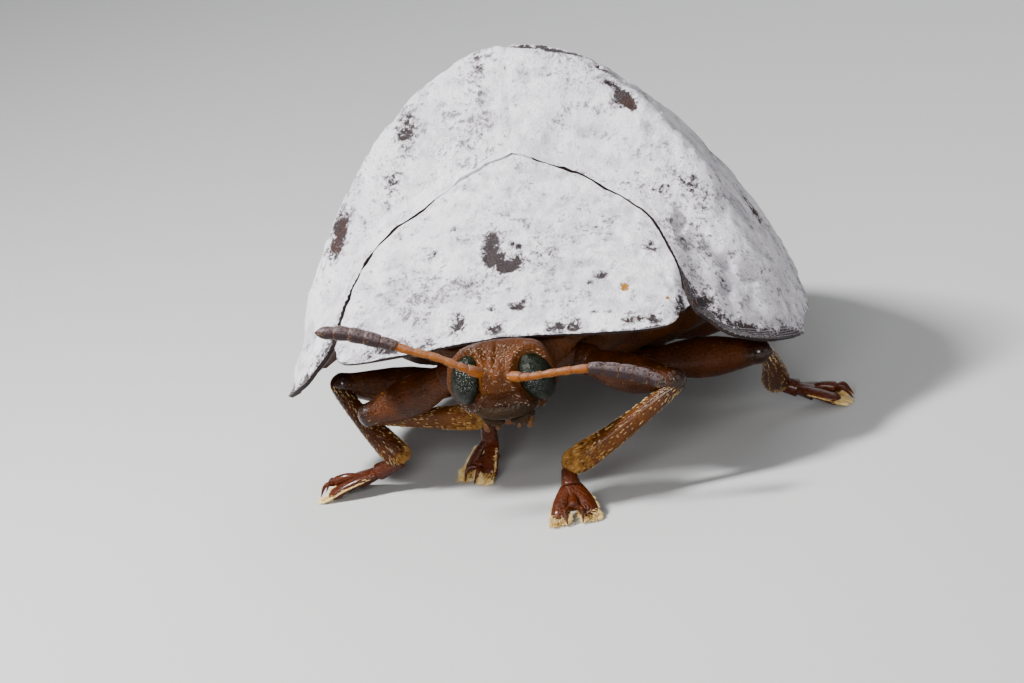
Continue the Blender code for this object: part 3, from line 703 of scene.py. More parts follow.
under_horn = horn_finish("horn_underside", (0.026, 0.008, 0.001), (0.072, 0.019, 0.0015),
                         0.46, 0.06)
plate_under = horn_finish("horn_plate_inside", (0.05, 0.016, 0.008), (0.13, 0.042, 0.016),
                          0.5, 0.1)
# Rim band of the plates: dark horn, and painted shade where it lines the crack between shield and
# cases.
rim_horn_and_crack_shade = horn_finish("horn_rim_and_crack_shade", (0.009, 0.006, 0.006), (0.026, 0.017, 0.016), 0.6, 0.0)
print("horn:", len(under_horn.node_tree.nodes), "nodes")

# %% [markdown]
# The shield takes the finest grid, because it faces the camera. Its relief adds broad lumps,
# grains, and wrinkles that run across the body, as where paste has dried and slipped. The
# powder ends in a small step at each bare place, and the margin has a thin raised lip.

# %% Shield
def crack_width(x):
    """The gap to the cases: thin on the right, thinner towards the middle, and wide along
    some stretches on the left and at the left end."""
    wide = smooth_step((x - 0.5) / 0.3) * (1.0 - smooth_step((x - 3.5) / 0.3))
    wide = wide * (0.6 + 0.4 * np.sin(5.2 * x)) + 0.35 * smooth_step((x - 3.9) / 0.5)
    return 0.008 + 0.012 * smooth_step((-0.8 - x) / 2.2) + 0.055 * np.clip(wide, 0.0, 1.0)


def powder_relief(grid, bare, wrinkles, dimples):
    """Relief in millimetres and, from 0 to 1, where its hollows lie, to be greyed as painted
    shade.

    The relief is lumps + grains - folds - pits - step. The folds are the absolute value of a
    noise stretched across the body, and the step is where the powder ends.
    """
    lumps = 0.06 * layered(grid, 1.1, 3, 3)
    grains = 0.034 * layered(grid, 0.26, 2, 11) * (1.0 - 0.6 * smooth_step((bare + 0.2) / 0.4))
    folds = wrinkles * np.abs(layered(grid * (0.45, 1.0, 1.0), 0.5, 2, 23))
    pits = dimples * smooth_step((noise(grid, 0.62, 41) - 0.25) / 0.5)
    step = 0.06 * smooth_step((bare - 0.15) / 0.3)
    # Low places of the relief, which the powder finish greys as painted shade.
    hollow_shade = smooth_step((folds + 0.3 * pits - grains - 0.5 * lumps - 0.005) / 0.06)
    return lumps + grains - folds - pits - step, hollow_shade


def add_plate(name, grid, relief, wall, powder, marks):
    """A plate's closed wall as a piece, its marks on the top side and none on the other."""
    points, faces, finish_of_face = closed_wall(grid, relief, wall)
    below = dict.fromkeys(marks, 0.0) | {"bare": NO_MARK}
    values = {key: np.r_[mark.ravel(), np.full(mark.size, below[key])]
              for key, mark in marks.items()}
    print(name + ":", len(faces) * 2, "triangles")
    return add_piece(name, points, faces, [powder, plate_under, rim_horn_and_crack_shade], "powdered_shell",
                     values, finish_of_face)


SHIELD_CRUMBS = [(3.62, -6.8, 0.17, 0.16, 0.9), (4.83, -6.95, 0.06, 0.06, 0.9)]
shield = shield_grid(130, 241, crack_width)
shield_free = np.vstack([shield[0], shield[:6, 0], shield[:6, -1]])
shield_edge = border_distance(shield, shield_free)
shield_bare = marks_on(shield, SHIELD_MARKS)
fringe = (0.85 + 0.5 * noise(shield, 1.1, 61)) * np.exp(-shield_edge / 0.10)
shield_bare = np.maximum(shield_bare, fringe - 0.45)
shield_relief, shield_hollow_shade = powder_relief(shield, shield_bare, 0.05, 0.02)
calm = 0.35 + 0.65 * smooth_step(shield_edge / 0.25)
shield_relief = shield_relief * calm + 0.025 * np.exp(-(shield_edge / 0.07) ** 2)
shield_wall = 0.09 + 0.36 * smooth_step(shield_edge / 1.2)
shield_grit = np.maximum(marks_on(shield, SHIELD_CRUMBS), 0.0)
shield_piece = add_plate("shield", shield, shield_relief, shield_wall, shield_powder,
                         {"bare": shield_bare, "edge": shield_edge, "hollow_shade": shield_hollow_shade,
                          "grit": shield_grit})
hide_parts("pronotum")

# %% [markdown]
# The wing cases carry shallow dimples, where the rows of pits in the horn show through, and a
# raised bead along the free margin. Round the shoulder the margin is bare and dark, with
# silver lines. The right case is the left one mirrored, with its own noise and rubbed places.

# %% Wing cases
SEAM_END, MARGIN_START, BAND_START = 60, 56, 82


def margin(grid, start):
    """Every second point of a case's free margin, from a column of its front edge on."""
    return np.vstack([grid[0, start:], grid[:, -1], grid[-1]])[::2]


case = case_grid(215, 150)
for side_name, side in (("left", 1.0), ("right", -1.0)):
    here = case * (side, 1.0, 1.0)
    edge = border_distance(here, margin(here, MARGIN_START))
    band = border_distance(here, margin(here, BAND_START))
    seam_edge = border_distance(here, here[0, :SEAM_END])
    bare = marks_on(case, CASE_MARKS[side_name])
    shoulder = smooth_step((-2.6 - here[..., 1]) / 1.5)
    corner = smooth_step((-5.3 - here[..., 1]) / 0.8)
    reach = 0.2 + 0.28 * shoulder + 0.3 * corner
    fringe = 1.3 * np.exp(-(band / reach) ** 2) * (0.35 + 0.65 * shoulder)
    bare = np.maximum(bare, fringe + 0.2 * noise(here, 0.35, 67) - 0.45)
    relief, hollow_shade = powder_relief(here, bare, 0.02, 0.10)
    relief = relief * smooth_step(edge / 0.35)
    relief = relief + 0.03 * np.exp(-(edge / 0.09) ** 2)
    relief = relief + 0.05 * np.exp(-(seam_edge / 0.22) ** 2) * (1.0 + noise(here, 0.5, 71))
    suture = np.abs(here[..., 0])
    relief = relief - 0.05 * np.exp(-(suture / 0.12) ** 2) * (here[..., 1] > SEAM_Y + 0.1)
    wall = 0.10 + 0.40 * smooth_step(edge / 1.4)
    piece = add_plate("wing_case_" + side_name, here, relief, wall, case_powder,
                      {"bare": bare, "edge": edge, "hollow_shade": hollow_shade, "grit": 0.0 * edge})
    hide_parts("elytron_" + side_name)

# %% [markdown]
# ## Body and head
# Below the lid the trunk is one jointed boat: chest, broad mid body with its plates, and a
# belly of five overlapping rings. It is lofted through the same stations as the solids, so
# that it fills the same space, with a groove pressed in wherever two rings meet and a round
# one for each thigh to lie in.

# %% Trunk
# y, half width, height of the keel, height of the roof
TRUNK = [(-7.35, 1.7, 3.75, 9.0), (-6.9, 2.3, 3.6, 9.0), (-6.2, 2.9, 3.35, 9.0),
         (-5.0, 3.4, 3.1, 9.0), (-4.1, 3.4, 2.9, 9.0), (-3.7, 3.6, 2.75, 6.2),
         (-2.6, 4.8, 2.4, 7.4), (-0.8, 5.5, 2.2, 8.4), (1.0, 5.7, 2.2, 8.0),
         (2.2, 5.5, 2.3, 7.4), (4.0, 4.9, 2.15, 7.0), (5.8, 4.0, 2.1, 6.4),
         (7.4, 2.8, 2.15, 5.0), (8.6, 1.4, 2.3, 4.0)]
# hip, knee, ankle, toe
LEGS = {
    "front_left": ((1.5, -6.6, 3.95), (4.95, -7.75, 3.15), (1.5, -8.6, 1.25), (1.75, -10.1, 0.0)),
    "front_right": ((-1.5, -6.4, 3.9), (-5.0, -6.1, 2.65), (-1.8, -4.8, 1.85), (-2.2, -5.3, 0.0)),
    "middle_left": ((2.3, -2.3, 2.2), (6.7, -4.0, 2.6), (6.35, -1.7, 0.9), (8.2, -1.4, 0.0)),
    "middle_right": ((-2.3, -2.3, 2.15), (-6.1, -4.6, 3.3), (-4.35, -5.4, 1.05),
                     (-6.7, -5.1, 0.0)),
    "hind_left": ((2.1, 1.2, 1.98), (4.9, 4.2, 1.75), (4.4, 7.2, 0.85), (4.7, 8.95, 0.0)),
    "hind_right": ((-2.1, 1.2, 1.98), (-5.0, 4.3, 1.75), (-4.8, 7.4, 0.85), (-5.3, 9.1, 0.0)),
}
RING_GROOVES = [-3.9, -2.9, 2.35, 4.55, 5.5, 6.4, 7.3]
TRUNK_ROOM = 0.75
GROOVE_RADIUS = 0.78


def dome_inside(x, y, room):
    """Dome less room times sqrt(1 + slope_x^2 + slope_y^2), which is room square to it."""
    step = 0.05
    slope_x = (dome(x + step, y) - dome(x - step, y)) / (2 * step)
    slope_y = (dome(x, y + step) - dome(x, y - step)) / (2 * step)
    return dome(x, y) - room * np.sqrt(1.0 + slope_x ** 2 + slope_y ** 2)


def thigh_grooves(x, y, z, middle):
    """The lower side pushed up around each thigh, as a round groove it can lie in.

    Its roof is the thigh's height plus sqrt(radius^2 - off^2), where off is the distance in
    plan from the line between hip and knee.
    """
    for hip, knee, *_ in LEGS.values():
        way = np.array(knee) - hip
        share = ((x - hip[0]) * way[0] + (y - hip[1]) * way[1]) / (way[0] ** 2 + way[1] ** 2)
        share = np.clip(share, 0.25, 1.0)
        off = np.hypot(x - hip[0] - share * way[0], y - hip[1] - share * way[1])
        roof = hip[2] + share * way[2] + np.sqrt(np.maximum(GROOVE_RADIUS ** 2 - off ** 2, 0.0))
        lift = np.maximum(np.minimum(roof, middle - 0.02) - z, 0.0) * (z < middle)
        z = z + lift * smooth_step((GROOVE_RADIUS + 0.12 - off) / 0.25)
    return z


def trunk_grid(rows, cols):
    """Rings across the body: half an ellipse down to the keel, and half of one up to the
    roof, which is kept under the dome."""
    y = np.linspace(TRUNK[0][0], TRUNK[-1][0], rows)
    half, keel, roof = (np.interp(y, [s[0] for s in TRUNK], [s[k] for s in TRUNK])[:, None]
                        for k in (1, 2, 3))
    groove = sum(np.exp(-((y - at) / 0.09) ** 2) for at in RING_GROOVES)[:, None]
    y = y[:, None]
    turn = np.linspace(0.0, 2 * np.pi, cols, endpoint=False)[None, :]
    half = half - 0.10 * groove
    x = half * np.cos(turn)
    middle = keel + 0.42 * np.minimum(half, 3.0)
    below = middle + (middle - keel - 0.07 * groove) * np.sin(turn)
    above = middle + (roof - middle) * np.sin(turn)
    z = np.where(np.sin(turn) > 0.0, above, below)
    y = y + 0.0 * x
    z = np.minimum(z, np.maximum(dome_inside(x, y, TRUNK_ROOM), middle))
    keel_line = 0.06 * np.exp(-(x / 0.1) ** 2) * (np.sin(turn) < 0) * (y > -3.4) * (y < 2.2)
    return np.stack([x, y, thigh_grooves(x, y, z + keel_line, middle)], -1)


def capped(grid):
    """Faces of a ring grid with both ends closed, turned outwards: the sense of a middle
    ring about the axis tells which way round the faces have to go."""
    rows, cols = grid.shape[:2]
    faces = grid_quads(rows, cols, ring=True)
    axis = grid[-1].mean(0) - grid[0].mean(0)
    edge = grid[rows // 2]
    spin = np.cross(edge[0] - edge.mean(0), edge[1] - edge.mean(0)) @ axis
    ends = [np.arange(cols), np.arange((rows - 1) * cols, rows * cols)[::-1]]
    if spin > 0:
        faces = faces[:, ::-1]
        ends = [end[::-1] for end in ends]
    return [tuple(face[::-1]) for face in faces] + [tuple(end[::-1]) for end in ends]


def add_rings(name, grid, finish, slot, values=None):
    """A piece made of one ring grid."""
    return add_piece(name, grid.reshape(-1, 3), capped(grid), [finish], slot, values)


trunk = trunk_grid(170, 96)
trunk_piece = add_rings("trunk_skin", trunk, under_horn, "underside")
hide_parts("prothorax", "thorax", "abdomen")
print("trunk:", trunk.shape[0], "rings")

# %% [markdown]
# Legs, feelers, palps and claws are all tubes whose thickness changes on the way. One loft
# serves them: rings set square to a path, each an ellipse with one radius across the path
# and one along a given rise, and ends that close over a quarter circle.

# %% A tube along a path
def loft(path, across, deep, up=(0.0, 0.0, 1.0), sides=20):
    """Rings of path + across cos(turn) side + deep sin(turn) rise."""
    path = np.asarray(path, float)
    ahead = unit(np.gradient(path, axis=0))
    side = unit(np.cross(ahead, np.broadcast_to(np.asarray(up, float), path.shape)))
    rise = np.cross(side, ahead)
    turn = np.linspace(0.0, 2 * np.pi, sides, endpoint=False)[None, :, None]
    across = np.broadcast_to(across, len(path))[:, None, None]
    deep = np.broadcast_to(deep, len(path))[:, None, None]
    wide_part = across * np.cos(turn) * side[:, None]
    return path[:, None] + wide_part + deep * np.sin(turn) * rise[:, None]


def dense_ends(count):
    """Numbers from 0 to 1 that crowd at both ends, as half a cosine wave."""
    return 0.5 - 0.5 * np.cos(np.pi * np.linspace(0.0, 1.0, count))


def round_ends(t, start, end):
    """A quarter circle at each end: sqrt(1 - (1 - into)^2) sqrt(1 - (1 - out)^2), where into
    and out grow from 0 to 1 over the first and last shares of the length."""
    into = np.clip(t / max(start, 1e-6), 0.0, 1.0)
    out = np.clip((1.0 - t) / max(end, 1e-6), 0.0, 1.0)
    size = np.sqrt(np.maximum(1.0 - (1.0 - into) ** 2, 0.0))
    return np.maximum(size * np.sqrt(np.maximum(1.0 - (1.0 - out) ** 2, 0.0)), 0.02)


def tube(path, t, across, deep, ends, up=(0.0, 0.0, 1.0), sides=20):
    """A loft whose two radii also shrink to nothing over the given shares at its ends."""
    size = round_ends(t, *ends)
    return loft(path, across * size, deep * size, up, sides)


def along_path(joints, t):
    """Points at the given shares of the length of a spline through the joints."""
    line = spread(joints, 200)
    at = np.linspace(0.0, 1.0, 200)
    return np.stack([np.interp(t, at, line[:, k]) for k in range(3)], 1)


def join(grids):
    """Several ring grids as one list of points and faces."""
    points, faces, start = [], [], 0
    for grid in grids:
        points.append(grid.reshape(-1, 3))
        faces += [tuple(np.asarray(face) + start) for face in capped(grid)]
        start += grid.shape[0] * grid.shape[1]
    return np.concatenate(points), faces


# %% [markdown]
# The head hangs under the shield and faces forward. It starts as an ellipsoid with its poles
# above and below and its crown widened, and is pushed out from its middle by soft bumps: a
# brow between the feelers, a broad plate above the mouth, and a rim round each eye with a
# hollow inside it.

# %% Head
HEAD_CENTRE = np.array([0.1, -8.75, 4.15])
HEAD_HALF = np.array([1.6, 0.78, 1.12])
# centre, half sizes, lean in degrees
EYES = {"right": ((-0.84, -9.13, 4.31), (0.50, 0.42, 0.74), 17.0),
        "left": ((1.14, -9.13, 4.2), (0.52, 0.42, 0.74), -20.0)}


def eye_share(grid, centre, half, lean):
    """How far out from an eye's middle in the front view: sqrt((u / half width)^2 +
    (v / half height)^2), with u and v turned by the lean."""
    a = np.radians(lean)
    x, z = grid[..., 0] - centre[0], grid[..., 2] - centre[2]
    u = x * np.cos(a) - z * np.sin(a)
    v = x * np.sin(a) + z * np.cos(a)
    return np.hypot(u / half[0], v / half[2])


def ball_grid(rows, cols):
    """Unit directions (cos rise cos turn, cos rise sin turn, sin rise): rows from the lower
    pole to the upper, columns around."""
    rise = np.linspace(-0.5, 0.5, rows)[:, None] * np.pi * 0.995
    turn = np.linspace(0.0, 2 * np.pi, cols, endpoint=False)[None, :]
    return np.stack([np.cos(rise) * np.cos(turn), np.cos(rise) * np.sin(turn),
                     np.sin(rise) + 0.0 * turn], -1)


ball = ball_grid(110, 180)
full_crown = np.where(ball[..., 2] > 0, (1.0 - ball[..., 2] ** 2 + 1e-6) ** -0.25, 1.0)
head = ball * HEAD_HALF
head[..., 0] *= full_crown
head = head + HEAD_CENTRE
facing = smooth_step((-ball[..., 1] - 0.05) / 0.4)
push = np.zeros(head.shape[:2])
for centre, half, lean in EYES.values():
    share = eye_share(head, centre, half, lean)
    rim = 0.13 * np.exp(-((share - 1.18) / 0.16) ** 2)
    push += facing * (rim - 0.22 * (share < 1.0) * (1 - share))
x, z = head[..., 0] - HEAD_CENTRE[0], head[..., 2]
push += facing * 0.26 * np.exp(-(x / 0.42) ** 2 - ((z - 4.45) / 0.36) ** 2)
push += facing * 0.24 * np.exp(-(x / 0.75) ** 4 - ((z - 3.5) / 0.34) ** 2)
push -= facing * 0.10 * np.exp(-((z - 3.86 - 0.25 * x * x) / 0.06) ** 2) * (np.abs(x) < 0.75)
push -= facing * 0.07 * np.exp(-(x / 0.05) ** 2) * smooth_step((z - 4.5) / 0.2)
push += 0.02 * layered(head, 0.3, 2, 83)
head = head + ball * push[..., None]
amber_head = horn_finish("horn_head", (0.046, 0.012, 0.0006), (0.105, 0.027, 0.001),
                         0.42, 0.04, 0.08)
# Painted shade: the crown and the sides of the head are darkened as under the shield's margin. The
# face is also darker towards the bottom.
low_face = smooth_step((4.1 - z) / 0.4)
crown_and_side_shade = 0.6 * smooth_step((z - 4.75) / 0.45) + 0.5 * smooth_step((np.abs(x - 0.05) - 1.1) / 0.3)
head_piece = add_rings("head_skin", head, amber_head, "amber_cuticle",
                       {"shade": np.maximum(low_face, crown_and_side_shade)})
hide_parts("head")
print("head:", head.shape[0], "rings")

# %% [markdown]
# Eyes are set in as pieces of their own, so that their black-green gloss ends in a crisp
# line. Real facets are about thirty micrometres wide; cells of noise as a relief give each of
# them its own glint. Silver dots on the facets around a fixed spot on the front of each eye
# are painted glints, which read as the silvery bloom of an insect's eye.

# %% Eyes
FACET = 0.036
eye_look = Finish("eye_facets", {"Specular IOR Level": 0.15})
cells = eye_look.add("TexVoronoi", {"feature": "F1"},
                     {"Vector": eye_look.place, "Scale": 1 / FACET})
bloom = eye_look.between(eye_look.grain(0.35, 2.0), 0.45, 0.65)
eye_tone = eye_look.mix(bloom, (0.003, 0.004, 0.0015), (0.007, 0.009, 0.003))
facet = 1.0 - eye_look.between(cells, 0.22, 0.46)
# Painted glints: silver dots on the facets, inside a fixed spot on the front of each eye.
lit = facet * eye_look.read("painted_glint") * eye_look.between(eye_look.grain(0.09, 2.0), 0.40, 0.60)
eye_tone = eye_look.mix(lit, eye_tone, (0.32, 0.35, 0.34))
eye_look.wear({"Base Color": eye_tone, "Roughness": eye_look.blend(bloom, 0.12, 0.2),
              "Normal": eye_look.bump(1.0 - cells, 0.016)})
globe = ball_grid(60, 90)
# The fixed spot on the front of each eye where silver glints are painted.
painted_glint = np.exp(-(globe[..., 0] ** 2 + (globe[..., 2] - 0.15) ** 2) / 0.22)
for name, (centre, half, lean) in EYES.items():
    a = np.radians(lean)
    bulb = globe * np.array(half) * (1.0, 1.15, 1.0)
    turned = np.stack([bulb[..., 0] * np.cos(a) + bulb[..., 2] * np.sin(a), bulb[..., 1],
                       bulb[..., 2] * np.cos(a) - bulb[..., 0] * np.sin(a)], -1)
    piece = add_rings("eye_ball_" + name, turned + np.array(centre), eye_look.material, "eye",
                      {"painted_glint": painted_glint})
    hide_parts("eye_" + name)
print("eyes:", len(EYES))

# %% [markdown]
# Feelers have eleven joints: a stout first one, slender orange ones, and five broad dark ones
# that form the club. The path is a spline, and the radius swells within each joint and is
# pinched where two meet. Joint number and place in the joint are kept as attributes, for the
# colours: brown rings at the pinches, and along the top a grey that is partly a bloom of fine
# hairs and partly a painted sheen.

# %% Feelers
ANTENNA_Y = -10.0
FEELER_SIDES = 22
ANTENNAE = {
    "right": [(-0.24, -9.55, 4.56), (-0.6, -9.9, 4.86), (-1.37, ANTENNA_Y, 5.33),
              (-2.2, ANTENNA_Y, 5.67), (-2.8, ANTENNA_Y, 5.95), (-3.85, ANTENNA_Y, 6.35),
              (-4.8, ANTENNA_Y, 6.5)],
    "left": [(0.44, -9.55, 4.42), (1.1, -9.9, 4.43), (2.08, ANTENNA_Y, 4.5),
             (2.96, ANTENNA_Y, 4.5), (3.4, ANTENNA_Y, 4.43), (4.36, ANTENNA_Y, 4.14),
             (5.1, ANTENNA_Y, 3.76)],
}
JOINT_ENDS = np.array([0.0, 0.11, 0.17, 0.25, 0.34, 0.43, 0.53, 0.625, 0.715, 0.80, 0.885, 1.0])
JOINT_RADII = [0.15, 0.115, 0.105, 0.11, 0.115, 0.125, 0.175, 0.21, 0.22, 0.215, 0.195]


def joint_profile(t):
    """Radius at a share of the length, and which joint and how far into it that is.

    The radius is the joint's size times 1.03 less a pinch, plus that pinch times a power of
    sin(pi inside). On the last joint it also falls off to a point.
    """
    number = np.clip(np.searchsorted(JOINT_ENDS, t, side="right") - 1, 0, 10)
    start, end = JOINT_ENDS[number], JOINT_ENDS[number + 1]
    inside = np.clip((t - start) / (end - start), 0.0, 1.0)
    size = np.array(JOINT_RADII)[number]
    pinch = np.where(number < 6, 0.21, 0.12)
    belly = 1.03 - pinch + pinch * np.sin(np.pi * np.clip(inside * 1.02, 0, 1) ** 1.5) ** 0.6
    tip = (1.0 - np.clip((inside - 0.3) / 0.7, 0, 1) ** 2) ** 0.8
    taper = np.where(number == 10, tip, 1.0)
    return np.maximum(size * belly * taper, 0.012), number, inside


feeler_look = Finish("feeler_horn", {"Specular IOR Level": 0.18})
club = feeler_look.between(feeler_look.read("joint"), 5.4, 5.6)
ring = feeler_look.between(feeler_look.read("pinch"), 0.86, 0.97)
above = feeler_look.between(feeler_look.read("above"), 0.05, 0.75)
speckle = feeler_look.grain(0.06, 2.0)
orange = feeler_look.mix(speckle, (0.24, 0.064, 0.0), (0.115, 0.028, 0.0))
dark = feeler_look.mix(speckle, (0.012, 0.006, 0.007), (0.032, 0.015, 0.015))
feeler_tone = feeler_look.mix(club, orange, dark)
feeler_tone = feeler_look.mix(ring * 0.6 * (1.0 - club * 0.6), feeler_tone, (0.12, 0.034, 0.006))
# Painted sheen, partly a bloom of fine hairs: a grey along the top side of the feeler.
feeler_tone = feeler_look.mix(above * feeler_look.between(speckle, 0.3, 0.6) * 0.45, feeler_tone,
                              (0.17, 0.13, 0.13))
feeler_look.wear({"Base Color": feeler_tone, "Roughness": feeler_look.blend(club, 0.45, 0.38),
                 "Normal": feeler_look.bump(speckle, 0.02)})
feelers = {}
t = np.linspace(0.0, 1.0, 360)
turn = np.linspace(0.0, 2 * np.pi, FEELER_SIDES, endpoint=False)
radius, number, inside = joint_profile(t)
pinch = np.maximum(1.0 - inside * 7.0, inside)
values = {"joint": np.repeat(number, FEELER_SIDES), "pinch": np.repeat(pinch, FEELER_SIDES),
          "above": np.tile(np.sin(turn), len(t))}
for name, joints in ANTENNAE.items():
    feelers[name] = loft(along_path(joints, t), radius, radius, sides=FEELER_SIDES)
    piece = add_rings("feeler_" + name, feelers[name], feeler_look.material, "antenna", values)
    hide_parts("antenna_" + name)
print("feelers: eleven joints each")

# %% [markdown]
# The mouth lies under the brow plate: a dark upper lip, two jaws that meet in the middle, and
# two pairs of jointed palps, which hang like short feelers. A chin closes the head below.

# %% Mouth
MOUTH_X, MOUTH_Y = 0.15, -9.2


def beside_mouth(side, places, t):
    """A path through places given as distance from the midline, depth and height."""
    return along_path([(MOUTH_X + side * x, MOUTH_Y + y, z) for x, y, z in places], t)


t = np.linspace(0.0, 1.0, 40)
beads = 1.0 - 0.22 * np.abs(np.cos(3 * np.pi * t)) ** 6
narrowing = 1.0 - 0.6 * t
bent = 2.0 * t - 1.0
lip_path = np.stack([MOUTH_X + 0.95 * bent, MOUTH_Y - 0.36 + 0.35 * bent ** 2,
                     3.36 + 0.12 * bent ** 2], 1)
palps, jaws = [], [tube(lip_path, t, 0.2, 0.22, (0.3, 0.3))]
for side in (-1.0, 1.0):
    for reach, low, thick in ((0.60, 2.78, 0.10), (0.30, 2.82, 0.08)):
        path = beside_mouth(side, [(0.3, 0.15, 3.2), (reach + 0.05, -0.1, 3.08),
                                   (reach, -0.25, low)], t)
        palps.append(tube(path, t, thick * beads, thick * beads, (0.1, 0.12), sides=14))
    path = beside_mouth(side, [(0.62, 0.1, 3.25), (0.5, -0.12, 3.08), (0.08, -0.2, 3.02)], t)
    jaws.append(tube(path, t, 0.24 * narrowing, 0.2 * narrowing, (0.2, 0.15)))
palp_horn = horn_finish("horn_palps", (0.035, 0.014, 0.004), (0.085, 0.034, 0.008), 0.35, 0.1)
add_piece("palps", *join(palps), [palp_horn], "antenna")
jaw_horn = horn_finish("horn_jaws", (0.009, 0.0035, 0.0004), (0.022, 0.009, 0.001), 0.5, 0.0)
mouth = add_piece("lip_and_jaws", *join(jaws), [jaw_horn], "amber_cuticle")
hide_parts("mouthparts")
chin = loft([[0.12, -8.0, 3.7], [0.12, -8.5, 3.45], [0.13, -8.9, 3.2], [0.15, -9.2, 3.0]],
            [0.8, 0.85, 0.7, 0.35], [0.5, 0.5, 0.4, 0.2])
add_rings("chin", chin, amber_head, "amber_cuticle")
print("mouth: a lip, two jaws,", len(palps), "palps and a chin")

# %% [markdown]
# ## Legs
# Each leg has a flattened ball of a hip, a short link to a thigh that is swollen in the
# middle, a shin that widens to its end, and a foot. Joints are the measured points of the
# solids. The thigh has a slight bead before the knee, and the shin a blunt keel along it.

# %% Thighs and shins
FEMUR_RADII = [0.34, 0.42, 0.54, 0.62, 0.6, 0.5, 0.38, 0.30]
TIBIA_RADII = [0.2, 0.25, 0.27, 0.3, 0.34, 0.38, 0.42, 0.36]
HIP_RADIUS, HIP_SHADE = 0.66, 0.25
LEG_SIDES, KEEL_SIDE = 28, 21

leg_horn = horn_finish("horn_legs", (0.036, 0.0095, 0.0005), (0.108, 0.030, 0.001),
                       0.3, 0.14, 0.07)
leg_dark = horn_finish("horn_far_legs", (0.020, 0.005, 0.0005), (0.062, 0.014, 0.0008),
                       0.28, 0.14, 0.07)


def square_to_bend(a, b, c):
    """The direction square to the plane in which a leg bends."""
    return unit(np.cross(np.subtract(b, a), np.subtract(c, b)))


def bowed(start, end, bow, t):
    """A straight line plus bow sin(pi t)."""
    return start + (end - start) * t[:, None] + bow * np.sin(np.pi * t)[:, None]


def radii_at(radii, t):
    """Radii given at even steps of the length, read off at t."""
    return np.interp(t, np.linspace(0.0, 1.0, len(radii)), radii)


thighs, shins = {}, {}
t = dense_ends(90)
knee_shade = np.repeat(smooth_step((t - 0.80) / 0.15), LEG_SIDES)
shin_shade = np.repeat(0.8 * smooth_step((0.42 - t) / 0.36), LEG_SIDES)
keel = 0.05 * np.exp(-((np.arange(LEG_SIDES) - KEEL_SIDE) / 1.6) ** 2)[None, :, None]
for name, joints in LEGS.items():
    hip, knee, ankle, _ = (np.array(point) for point in joints)
    fold = square_to_bend(hip, knee, ankle)
    out, down = unit(knee - hip), unit(ankle - knee)
    radius = radii_at(FEMUR_RADII, t) + 0.03 * np.exp(-((t - 0.93) / 0.05) ** 2)
    path = bowed(hip + out * 0.35, knee + out * 0.18, np.cross(fold, out) * 0.12, t)
    thighs[name] = tube(path, t, 0.92 * radius, radius, (0.08, 0.07), fold, LEG_SIDES)
    hip_way = unit(np.array([hip[0], 0.0, -0.6]))
    path = hip + hip_way * 1.15 * HIP_RADIUS * (2.0 * t[:, None] - 1.15)
    hip_ball = tube(path, t, 0.86 * HIP_RADIUS, 0.92 * HIP_RADIUS, (0.5, 0.5), (0, 1, 0),
                    LEG_SIDES)
    path = hip + out * (0.3 + 0.75 * t[:, None])
    link = tube(path, t, 0.46, 0.44, (0.4, 0.4), fold, LEG_SIDES)
    points, faces = join([thighs[name], hip_ball, link])
    others = len(points) - len(knee_shade)
    piece = add_piece(name + "_thigh", points, faces, [leg_dark], "amber_cuticle",
                      {"shade": np.r_[knee_shade, np.full(others, HIP_SHADE)],
                       "wet": np.r_[knee_shade, np.zeros(others)]})
    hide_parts(name + "_femur")
    radius = radii_at(TIBIA_RADII, t)
    path = bowed(knee - down * 0.12, ankle + down * 0.08, np.cross(fold, down) * -0.10, t)
    shin = tube(path, t, radius, 0.86 * radius, (0.06, 0.07), fold, LEG_SIDES)
    shins[name] = shin + keel * unit(shin - path[:, None]) * np.sin(np.pi * t)[:, None, None]
    piece = add_rings(name + "_shin", shins[name],
                      leg_horn if name.startswith("front") else leg_dark, "amber_cuticle",
                      {"shade": shin_shade, "wet": shin_shade})
    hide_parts(name + "_tibia")
print("thighs and shins:", len(thighs), "legs")

# %% [markdown]
# A foot is four small joints: two short wedges, a broad two-lobed one that carries the brush
# soles, and a slender last joint with a pair of hooked claws. All are flattened lofts on a
# path from the ankle to the floor.

